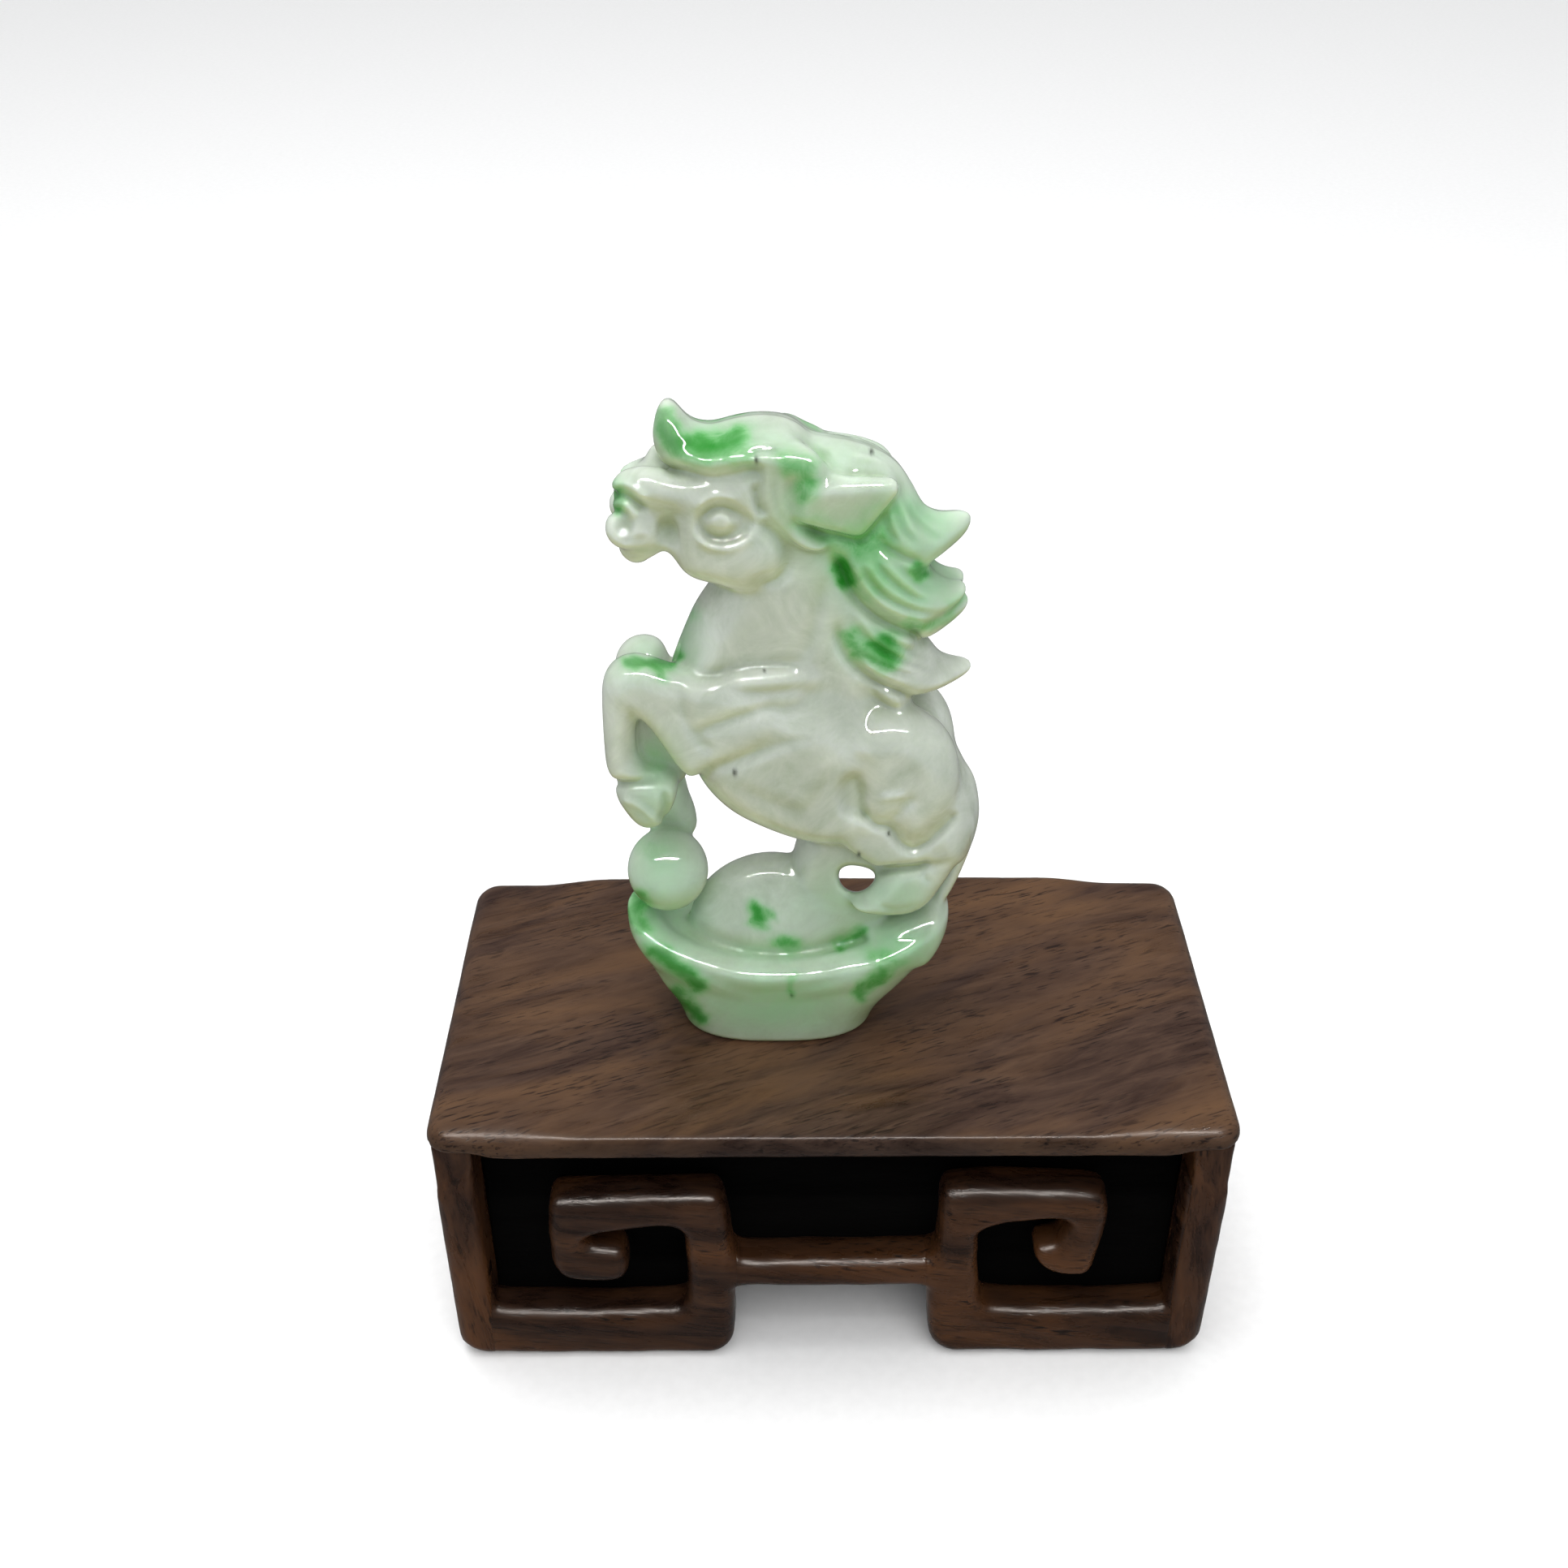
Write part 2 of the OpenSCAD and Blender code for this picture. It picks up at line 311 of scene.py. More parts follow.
    def egg(self, centre, radii, k, cut=False):
        """An ellipsoid at a true place."""
        c, r = np.array(centre, float), np.array(radii, float)
        s, x, y, z = self.window(c - r - ROOM, c + r + ROOM)
        k0 = np.sqrt(((x - c[0]) / r[0]) ** 2 + ((y - c[1]) / r[1]) ** 2 + ((z - c[2]) / r[2]) ** 2)
        k1 = np.sqrt(((x - c[0]) / r[0] ** 2) ** 2 + ((y - c[1]) / r[1] ** 2) ** 2
                     + ((z - c[2]) / r[2] ** 2) ** 2)
        (self.cut if cut else self.add)(s, k0 * (k0 - 1) / np.maximum(k1, 1e-4), k)

    def cup(self, at, y, radii, k):
        """An egg-shaped hollow whose middle is drawn as seen at depth y."""
        x, z = seen([at], y)[0]
        self.egg((x, y, z), radii, k, cut=True)

    def soften(self, passes):
        """Blurs the field a little with each pass."""
        for _ in range(passes):
            for axis in range(3):
                a = np.moveaxis(self.d, axis, 0)
                b = a.copy()
                b[1:-1] = 0.25 * a[:-2] + 0.5 * a[1:-1] + 0.25 * a[2:]
                self.d = np.ascontiguousarray(np.moveaxis(b, 0, axis))

    def sample(self, p):
        """Trilinear value of the field at points p in millimetres."""
        g = (p - self.low) / self.step
        i = np.clip(np.floor(g).astype(int), 0, np.array(self.d.shape) - 2)
        f = g - i
        out = np.zeros(len(p))
        for corner in np.ndindex(2, 2, 2):
            c = np.array(corner)
            w = np.prod(np.where(c, f, 1 - f), 1)
            j = i + c
            out += w * self.d[j[:, 0], j[:, 1], j[:, 2]]
        return out

    def gradient(self, p):
        """Unit direction in which the field rises at points p."""
        e = self.step * 0.75
        g = [self.sample(p + e * a) - self.sample(p - e * a) for a in np.eye(3)]
        g = np.stack(g, 1)
        return g / np.maximum(np.linalg.norm(g, axis=1, keepdims=True), 1e-6)

    def mesh(self, name):
        """The surface as quads whose points are drawn onto the field's zero level."""
        grid = openvdb.FloatGrid()
        grid.background = float(FAR)
        grid.copyFromArray(np.ascontiguousarray(self.d))
        points, quads = grid.convertToQuads(0.0)
        points = points.astype(float) * self.step + self.low
        for _ in range(2):
            points -= self.gradient(points) * self.sample(points)[:, None] * 0.8
        v = points[quads]
        volume = np.einsum("ij,ij->i", v[:, 0], np.cross(v[:, 1] - v[:, 0], v[:, 2] - v[:, 0])).sum()
        if volume < 0:
            quads = quads[:, ::-1]
        mesh = bpy.data.meshes.new(name)
        mesh.from_pydata((points * MM).tolist(), [], quads.tolist())
        mesh.shade_smooth()
        return mesh, points


# ---------------------------------------------------------------- the horse


def near_side(c):
    """Neck, chest, barrel, rump, flank, tail and shoulder: the same on both faces of the carving."""
    # neck, then the fuller chest under it
    c.lobe([
        (-13.6, 106), (-14, 104.6), (-16, 101.6), (-17.4, 98.2), (-18.6, 95), (-19, 91), (-12, 88),
        (4, 88), (7, 95), (5, 101), (3, 107), (1, 113), (-4, 117), (-10, 112),
    ], MID, 5.2, 4.6, 0.5)
    c.lobe([
        (-17.6, 95), (-18.6, 93), (-19, 90), (-18.3, 86), (-17, 82), (-12, 80.5), (-4, 82), (6, 85),
        (9.4, 89), (5, 92), (0, 93.4), (-6, 93.4), (-12, 94),
    ], MID, 6.4, 4.6, 1.6)
    # barrel and belly
    c.lobe([
        (-17.6, 91), (-18, 86), (-16.6, 80), (-13.4, 75.6), (-9.2, 72.9), (-4, 70.6), (1, 70), (6, 72),
        (11, 75), (14, 80), (12, 85), (9, 87.5), (4, 89.5), (-6, 94), (-14, 94),
    ], MID, 7.4, 5.2, 1.2)
    # rump
    c.lobe([
        (0, 88), (9.6, 87.6), (12, 86), (14, 83.2), (15.8, 80), (17, 76.6), (17.7, 73.4), (17.5, 70.7),
        (16.8, 68), (15.5, 66.5), (10, 70), (3, 73),
    ], MID, 7.2, 4.8, 1.4)
    # flank that bulges over the belly
    c.lobe([
        (-13.8, 80), (-13.8, 76.9), (-11.6, 74.9), (-6.4, 72.4), (-3.2, 71.6), (-0.9, 73.4), (1, 76.9),
        (2.6, 80), (2, 86), (-4, 88), (-10, 85),
    ], -4.6, 4.1, 3.6, 0.35, at=-7.6)
    # tail along the rump
    c.lobe([
        (15.6, 80), (17.2, 78), (18, 73.6), (17.8, 70.4), (16.8, 66), (15.2, 61), (13.3, 57.8),
        (12, 58.5), (13.6, 63), (14.8, 68), (15.2, 74),
    ], MID, 2.4, 1.6, 0.5)
    # shoulder: a ridge below the neck, and two soft ribs under it
    c.limb([
        (-14.8, 90.4, -5.9, 1.2), (-11, 91.6, -6.6, 1.4), (-7, 92, -6.6, 1.4), (-3, 92.2, -5.2, 1.2),
        (-0.6, 92.3, -3.8, 0.9),
    ], 1.0)
    c.limb([
        (-14.6, 86.6, -6.1, 1.3), (-11.6, 88, -6.7, 1.5), (-8.6, 89.2, -6.8, 1.4), (-5, 89.8, -6.0, 1.3),
    ], 1.0)
    c.limb([
        (-14, 83, -6.4, 1.4), (-11, 84.6, -6.9, 1.5), (-7.8, 86.2, -6.8, 1.4), (-4, 86.8, -6.0, 1.3),
    ], 1.0)


def head(c):
    """Skull, muzzle, cheek and forelock."""
    c.lobe([
        (-18.2, 119.6), (-18.4, 112.4), (-18, 108), (-16.4, 106.4), (-14.2, 105.7), (-11.2, 105.2),
        (-8, 105), (-6, 106.4), (-4, 108), (-3, 114), (-5, 122), (-12, 123),
    ], MID, 6.3, 3.8, 0.4)
    c.lobe([
        (-16, 118.6), (-21.4, 118.6), (-23, 117.9), (-24.4, 116.6), (-24.2, 114.4), (-24.3, 112.6),
        (-23.9, 110.6), (-23.9, 108.9), (-23.4, 108), (-22.3, 107.4), (-20.8, 107.7), (-20, 108.8),
        (-19.2, 109.3), (-18, 108.6), (-15, 107),
    ], MID, 3.9, 3.0, 1.0)
    # bridge of the nose, and the jaw's round cheek
    c.limb([
        (-22.4, 116.4, -3.0, 1.8), (-20.6, 116.6, -3.8, 1.9), (-18, 115.8, -4.6, 1.8),
        (-14, 115.4, -5.4, 1.5), (-10, 115.4, -5.4, 1.3),
    ], 1.0)
    c.egg((-9.9, -5.2, 110.4), (4.4, 2.5, 4.4), 0.8)
    # nostril: a short tube whose open end faces forward and out
    c.limb([(-20.6, 111.2, -3.0, 2.4), (-22.2, 111.3, -3.6, 2.4), (-23.1, 111.3, -3.9, 2.35)], 0.6)
    # the tube is hollowed to a shallow cup
    c.cup((-23.5, 111.1), -6.5, (1.35, 2.1, 1.5), 0.25)
    # lower lip and chin
    c.limb([(-23, 109, -2.6, 1.1), (-21.8, 108.7, -3.4, 1.2), (-20.6, 109, -3.2, 1.1)], 0.6)
    # corner of the mouth
    c.cup((-18.7, 110.3), -5.6, (1.2, 2.0, 2.0), 0.6)
    # forelock: a wave with its crest thrown forward
    c.lobe([
        (-18.4, 126.7), (-17.1, 126.2), (-16.1, 124.8), (-15.1, 123.9), (-13.4, 123.6), (-11.4, 124.3),
        (-8.5, 124.8), (-5.5, 124.5), (-3, 122.9), (-3, 120), (-5, 119.4), (-8.5, 120), (-9.8, 119.4),
        (-12.2, 118.9), (-13.8, 118.7), (-16, 119), (-18.2, 119.4), (-19.2, 119.8), (-19.6, 121),
        (-19.85, 122.7), (-19.5, 124.6), (-19, 125.9),
    ], MID, 7.0, 2.7, 0.7, thin=(-13, -19.5, 0.5))


def mane(c):
    """The mane: a mass behind the head, three hooked locks, the lock round the cheek, and the ear."""
    c.lobe([
        (-6, 122.4), (-3.4, 122.4), (-1, 122.1), (1.5, 121.7), (3.5, 121), (5.3, 120.2), (6.9, 118.8),
        (8, 117), (8.9, 114.6), (9.6, 112.6), (10.4, 108.5), (10, 106.2), (9.4, 98), (9.2, 92), (9, 88.6),
        (5, 90), (3, 94), (1, 99), (0, 107), (-3, 112), (-6, 118),
    ], MID, 5.8, 2.9, 0.8)
    c.lobe([
        (4, 117), (7.5, 117.6), (9, 115), (10, 113.9), (11.4, 113.3), (13.2, 113.6), (14.5, 113.4),
        (14.9, 112.6), (14.5, 110.9), (12.8, 109.2), (10.6, 107.8), (8.6, 107.4), (6, 108.6), (5, 112),
    ], MID, 6.2, 2.8, 0.6, thin=(7, 15, 0.36))
    c.lobe([
        (0.2, 107.8), (1.6, 104.6), (3.2, 102.2), (5.6, 100.3), (8.4, 98.9), (10.4, 98.6), (12.9, 99.6),
        (14.6, 101), (15.2, 102.3), (14.7, 103.1), (13.3, 102.9), (11.7, 103.6), (10.3, 105.4),
        (9.5, 108.5), (5, 110.5), (2, 110),
    ], -2.4, 5.6, 2.2, 0.35, at=-5, thin=(5, 15.4, 0.4))
    c.lobe([
        (0.2, 107.8), (1.4, 104.8), (2.8, 102.4), (5, 100.5), (7.7, 98.7), (10.4, 98), (12.9, 99.4),
        (14.6, 101), (15.2, 102.3), (14.7, 103.1), (13.3, 102.9), (11.7, 103.6), (10.3, 105.4),
        (9.5, 108.5), (5, 110.5), (2, 110),
    ], MID, 5.8, 2.4, 0.4, thin=(6, 15.4, 0.4))
    c.lobe([
        (1.1, 101.4), (1.1, 99.3), (1.4, 96), (3.3, 93.8), (6, 92), (9, 90.8), (12, 90.9), (14.3, 91.9),
        (15.6, 92.9), (16.1, 93.6), (15.5, 94.4), (13.2, 94.6), (12.2, 94.9), (11, 96.6), (9, 98.6),
        (5, 99.3), (2.2, 101.6),
    ], MID, 6.4, 3.0, 0.5, thin=(6, 16.2, 0.32))
    # lock that curls round the cheek: a flat crescent
    c.lobe([
        (-8.6, 118.6), (-8.4, 116), (-8, 113.7), (-6.8, 111), (-5, 108.9), (-3.3, 107.9), (-1.5, 107.6),
        (-0.6, 108.4), (-2, 109.3), (-3.2, 110.2), (-4.4, 112), (-4.9, 114.4), (-4.6, 117), (-3, 119.4),
        (-4.6, 120.6), (-7, 120.2),
    ], -5.6, 2.3, 1.3, 0.35, at=-7.4)
    # bulging root of that lock
    c.limb([(-4.6, 119.4, -6.2, 1.6), (-3.2, 118.6, -6.8, 1.8), (-2.2, 117.2, -6.6, 1.5)], 1.2)
    # the laid-back ear, with a ridge along it
    front, back = (-4, 115.3, 8.3), (5.6, 115.9, 7.7)
    c.facets([
        (-5.4, 117.6), (-5.2, 113.2), (-4.2, 111.9), (-1.4, 111), (2.7, 109.8), (3.9, 111.4), (5.2, 113.2),
        (7.2, 116.2), (6.4, 117.1), (5, 117.5), (0, 117.5),
    ], [
        (front, back, (1, 110.4, 7.3)), (front, back, (1, 117.5, 6.7)),
        ((-5.2, 116, 6.4), (-5.2, 112, 6.4), (-3, 114, 8.1)),
    ], 0.3)


def head_lines(c):
    """Eye, brow, mouth and the grooves round them."""
    # hollow between the forelock and the brow
    c.inset([
        (-18.6, 118.4), (-16, 118.7), (-12.2, 118.7), (-9.2, 119), (-8.5, 118.2), (-8.9, 117),
        (-10.6, 116.5), (-14, 116.5), (-17.4, 117), (-18.6, 117.4),
    ], 0.2, 0.6)
    # almond socket, the eyeball in it, and the flat disc of the pupil
    c.inset([
        (-15.5, 112.3), (-14.4, 113.8), (-12.6, 114.4), (-10.8, 113.8), (-8.9, 112.3), (-9.6, 110.5),
        (-11.4, 109.3), (-13.6, 109.4), (-15.2, 110.6),
    ], 0.4, 0.4)
    c.inset([
        (-14.6, 112.2), (-13.6, 113.2), (-12.2, 113.2), (-10.6, 112.1), (-11.4, 110.9), (-13, 110.5),
        (-14.2, 111),
    ], -0.3, 0.4)
    c.inset([(-12.7 + 1.25 * math.cos(a), 111.95 + 1.3 * math.sin(a)) for a in np.arange(8) * math.pi / 4],
            -0.4, 0.22)
    c.line([
        (-15.7, 110.6), (-14.4, 109.1), (-12.3, 108.6), (-10.2, 109.4), (-9.2, 110.6),
    ], 0.34, -0.35, 0.2)
    c.line([(-15.6, 113.2), (-14.2, 114.8), (-12.4, 115.1), (-10.4, 114.5)], 0.34, -0.3, 0.2)
    # round the cheek and the jaw
    c.line([
        (-9.4, 112.6), (-7.6, 111.2), (-6.2, 109.4), (-5.6, 107.4), (-6.2, 105.4), (-8, 104.6),
        (-11, 104.8),
    ], 0.8, 0.45, 0.2)
    c.line([(-9, 117), (-8.8, 114.6), (-8, 112.4)], 0.5, 0.4, 0.2)
    c.line([(-24, 109.8), (-22.4, 109.8), (-20.8, 110.1)], 0.35, 0.35, 0.2)
    # wrinkles over the nostril: two ridges and the grooves under them
    c.line([
        (-24.6, 116), (-23.6, 116.7), (-22.6, 116.5), (-21.4, 115.4), (-20.4, 114.5),
    ], 0.42, -0.55, 0.15, shallow=0.5)
    c.line([
        (-24.8, 115.2), (-23.6, 115.5), (-22.4, 115), (-21.4, 114), (-20.8, 113.4),
    ], 0.38, 0.5, 0.15, shallow=0.5)
    c.line([(-24.8, 114), (-23.6, 114.2), (-22.6, 113.5), (-21.7, 112.5)], 0.38, -0.5, 0.15, shallow=0.5)
    c.line([(-25, 113.1), (-23.8, 113.3), (-22.6, 112.8)], 0.3, 0.35, 0.15, shallow=0.5)
    # the crown: its edges, and two soft ridges across it
    c.line([(-1.3, 120.8), (-1, 119.3), (0.1, 117.6)], 0.5, 0.25, 0.3)
    c.line([(0.2, 117.5), (3, 117.5), (6.6, 117.1)], 0.4, 0.25, 0.25)
    c.line([(0.8, 121.3), (2.4, 121.2), (3.8, 120.7)], 0.45, -0.25, 0.25)
    c.line([(1.2, 119.8), (3.2, 119.7), (5.4, 118.8)], 0.5, -0.3, 0.25)


# Strands of hair: (points, depth). Each runs along its lock and fades out at both ends.
STRANDS = [
    ([(-18.4, 123), (-17.2, 121.4), (-14.6, 120.7), (-11, 121.3), (-7, 122), (-4.4, 121)], 0.07),
    ([(-15.4, 122.4), (-12.6, 122.4), (-9, 123.1), (-5.6, 122.8)], 0.05),
    ([(-10.4, 119.6), (-8, 120.4), (-5.6, 120.2)], 0.2),
    ([(-5.4, 123.2), (-3.4, 121.9), (-1.8, 120.2), (-0.9, 118.6)], 0.35),
    ([(-6.8, 119.6), (-6.9, 116.4), (-6.4, 113.2), (-4.6, 110.4), (-2.2, 108.7)], 0.18),
    ([(-4.8, 112.4), (-2.2, 110.9), (0.6, 110.2), (2.6, 109.6), (3.8, 110.8), (5.4, 113), (6.9, 115.4)], 0.3),
    ([(5.2, 120), (6.4, 118), (7.4, 115), (8.6, 112.4), (10.8, 110.2), (12.8, 110)], 0.34),
    ([(6.3, 119.4), (7.6, 117), (8.6, 114.6), (10.2, 112.4), (12.6, 111.6)], 0.2),
    ([(6.4, 115.4), (6.8, 112.8), (7.8, 110.4), (9.6, 108.9)], 0.3),
    ([(5.3, 113.6), (5.6, 111), (7, 109)], 0.24),
    ([(4.2, 110.6), (5.8, 108.6), (8, 107.4), (10.2, 106.8)], 0.34),
    ([(2.2, 108.6), (3.2, 105.6), (5, 103), (7.4, 101.4), (10.4, 100.4), (13, 101)], 0.3),
    ([(3.8, 108.6), (5.2, 105.8), (7, 103.8), (9.4, 102.2), (12.2, 101.7)], 0.26),
    ([(6.2, 107.8), (7.6, 105.8), (9.4, 104.1), (11.6, 103)], 0.2),
    ([(2.2, 100.4), (3.2, 97.8), (5.2, 95.6), (8.2, 94), (11, 93.2), (14, 93.5)], 0.26),
    ([(3.6, 100), (5, 98), (7.2, 96.2), (10, 94.8), (12.4, 94.2)], 0.2),
    ([(2.6, 95.6), (4.8, 93.8), (8, 92.4), (11, 92)], 0.26),
]


def mane_lines(c):
    for path, depth in STRANDS:
        c.line(path, 0.42, depth, 0.3)
    # shadowed edge under the second hook, down from the ear
    c.line([
        (-0.4, 108), (0.6, 106.2), (1.6, 103.8), (3.2, 101.4), (5.6, 99.4), (8.6, 98), (10.4, 97.6),
    ], 0.8, 0.7, 0.15)
    c.line([(-1.2, 106), (-1.8, 102), (-3, 96.6), (-3.8, 93.4)], 0.9, 0.3, 0.3)
    c.line([(0.4, 100.4), (0.6, 96.4), (2.6, 93.2), (6.4, 90.6), (9.6, 89.2)], 0.6, 0.5, 0.2)


def body_lines(c):
    """Soft folds across the chest, flank and haunch."""
    c.line([(-17.2, 90.4), (-16, 91.7), (-11, 92.7), (-6, 93.4), (-2.4, 93.8)], 0.9, 0.32, 0.3)
    c.line([(-16.4, 83.6), (-15, 84.9), (-11.6, 86.4), (-8.4, 87.7), (-5.8, 88.2)], 0.8, 0.4, 0.3)
    c.line([(-17.9, 92), (-17.8, 89.4), (-17.1, 85.6), (-15.5, 82.8), (-14.4, 80.6)], 0.8, 0.3, 0.3)
    c.line([
        (-16.2, 77.6), (-13.8, 79.4), (-11.9, 80.2), (-9, 81.5), (-4.5, 83.2), (-1, 83),
    ], 0.8, 0.3, 0.3)
    # pocket between the flank and the haunch, and the folds of the haunch
    c.inset([
        (0.6, 77.2), (3.1, 78.8), (3.5, 76), (3.8, 73.2), (4.6, 71.8), (2.4, 72), (1, 73),
    ], 0.55, 0.9)
    c.line([
        (3.1, 79), (3.6, 75.7), (3.8, 73), (5.2, 70.9), (6.8, 70.6), (7.8, 69.2), (8.6, 67.9), (10, 67.1),
        (11.4, 67.8), (12.9, 69.3), (14.6, 71.6), (15.2, 73),
    ], 0.6, 0.5, 0.1)
    c.line([(7, 70.9), (8.2, 72.6), (9.2, 74.2), (10.4, 75)], 0.8, 0.3, 0.3)
    c.line([(5.2, 74.4), (7.4, 74.9), (9.4, 75.2)], 0.5, -0.25, 0.3)
    c.line([(5.6, 63.4), (7.2, 63.7), (10.6, 64.2), (12.6, 65.4)], 0.5, 0.5, 0.2)
    c.line([(10.8, 64.4), (11.6, 62.8), (12.4, 61.2)], 0.3, 0.2, 0.3)
    # hooves: the hollow of the pastern and a bevelled wall
    c.line([(-26.9, 77), (-25, 77.2), (-22.6, 77.4), (-20.4, 78.2)], 0.5, 0.4, 0.2)
    c.line([(-25.9, 74.7), (-24.4, 74.2), (-22.6, 72.6), (-21.4, 70.8)], 0.35, -0.25, 0.2)
    c.line([(-20.4, 76.4), (-20.4, 73.6), (-21, 71)], 0.5, 0.45, 0.2)
    c.line([(5.8, 58.8), (7.4, 57.4), (9.8, 57.6), (11.6, 58.8)], 0.4, 0.2, 0.25)


def haunch(c):
    """Thigh: the same on both faces."""
    c.lobe([
        (3.2, 78.8), (3.6, 75.7), (3.9, 72.9), (5.2, 71.1), (6.8, 71), (7.6, 69.8), (8.4, 68.5),
        (10, 67.6), (11.4, 68.2), (12.9, 69.8), (14.4, 71.8), (15.3, 74), (15.4, 77), (14.4, 81),
        (11.8, 84), (8, 86), (3, 85), (1, 82),
    ], -4.8, 4.5, 3.8, 0.6, at=-8, grow=0.3)


# the ingot's flat underside, on the top board
FOOT_Z = 42.0


def ingot(c):
    """Boat-shaped ingot: an oval foot, a broad rolled lip with raised ends, and a dome in it."""
    s, x, y, z = c.window((-28, -11, 41), (18, 11, 63))
    t = smooth_step(42, 58, z)
    cx = -6.85 + 1.65 * t
    rx = 12.2 + 2.6 * smooth_step(41.5, 49, z) + 5.2 * smooth_step(45, 57, z)
    ry = 8.1 + 0.3 * smooth_step(45, 53, z)
    u, v = np.abs(x - cx) / rx, np.abs(y - MID) / ry
    plan = (u**2.7 + v**2.7) ** (1 / 2.7)
    flank = (plan - 1) * 0.5 * (ry + rx * u**2 * 0.4)
    saddle = 53.6 + 5.2 * np.clip(np.abs(x + 5.4) / 19.5, 0, 1.1) ** 2.2
    q = np.maximum(flank, z - saddle)
    c.add(s, np.maximum(q, FOOT_Z - z), 0.6)
    # the lip: a broad roll along the whole rim
    rim = [(-23.4, 57.6, 0.0, 1.2), (-22.4, 56.6, -3, 1.2), (-20.6, 55.1, -4.7, 1.3), (-16.6, 53.9, -6, 1.3),
           (-12, 53.2, -6.7, 1.3), (-7, 53, -6.9, 1.3), (-2, 53.2, -6.7, 1.3), (3, 53.9, -6, 1.3),
           (7.6, 55.1, -4.6, 1.2), (10, 55.8, -2.7, 1.0), (11, 56.2, 0, 0.9)]
    c.add(s, to_tube(x, y - MID, z, spline(rim), (1.0, 1.15)), 2.6)
    c.egg((-7.5, -1, 54.6), (10.6, 5.2, 11.4), 1.4)


def ingot_lines(c):
    c.line([
        (-22, 57), (-17.4, 54.6), (-12.7, 51.7), (-8, 50.4), (-3, 50.6), (1.6, 52.4), (4.6, 54.6),
    ], 1.2, 0.2, 0.2)
    c.line([
        (-22.6, 51.6), (-17, 47.6), (-12, 44.4), (-7, 43.9), (-2, 45), (2.6, 46.6), (8, 47.6),
    ], 1.0, 0.15, 0.2)
    c.line([(-13, 61), (-10.4, 62.8), (-7.8, 63.4), (-5, 62.8), (-2.4, 60.8)], 0.5, -0.25, 0.3)


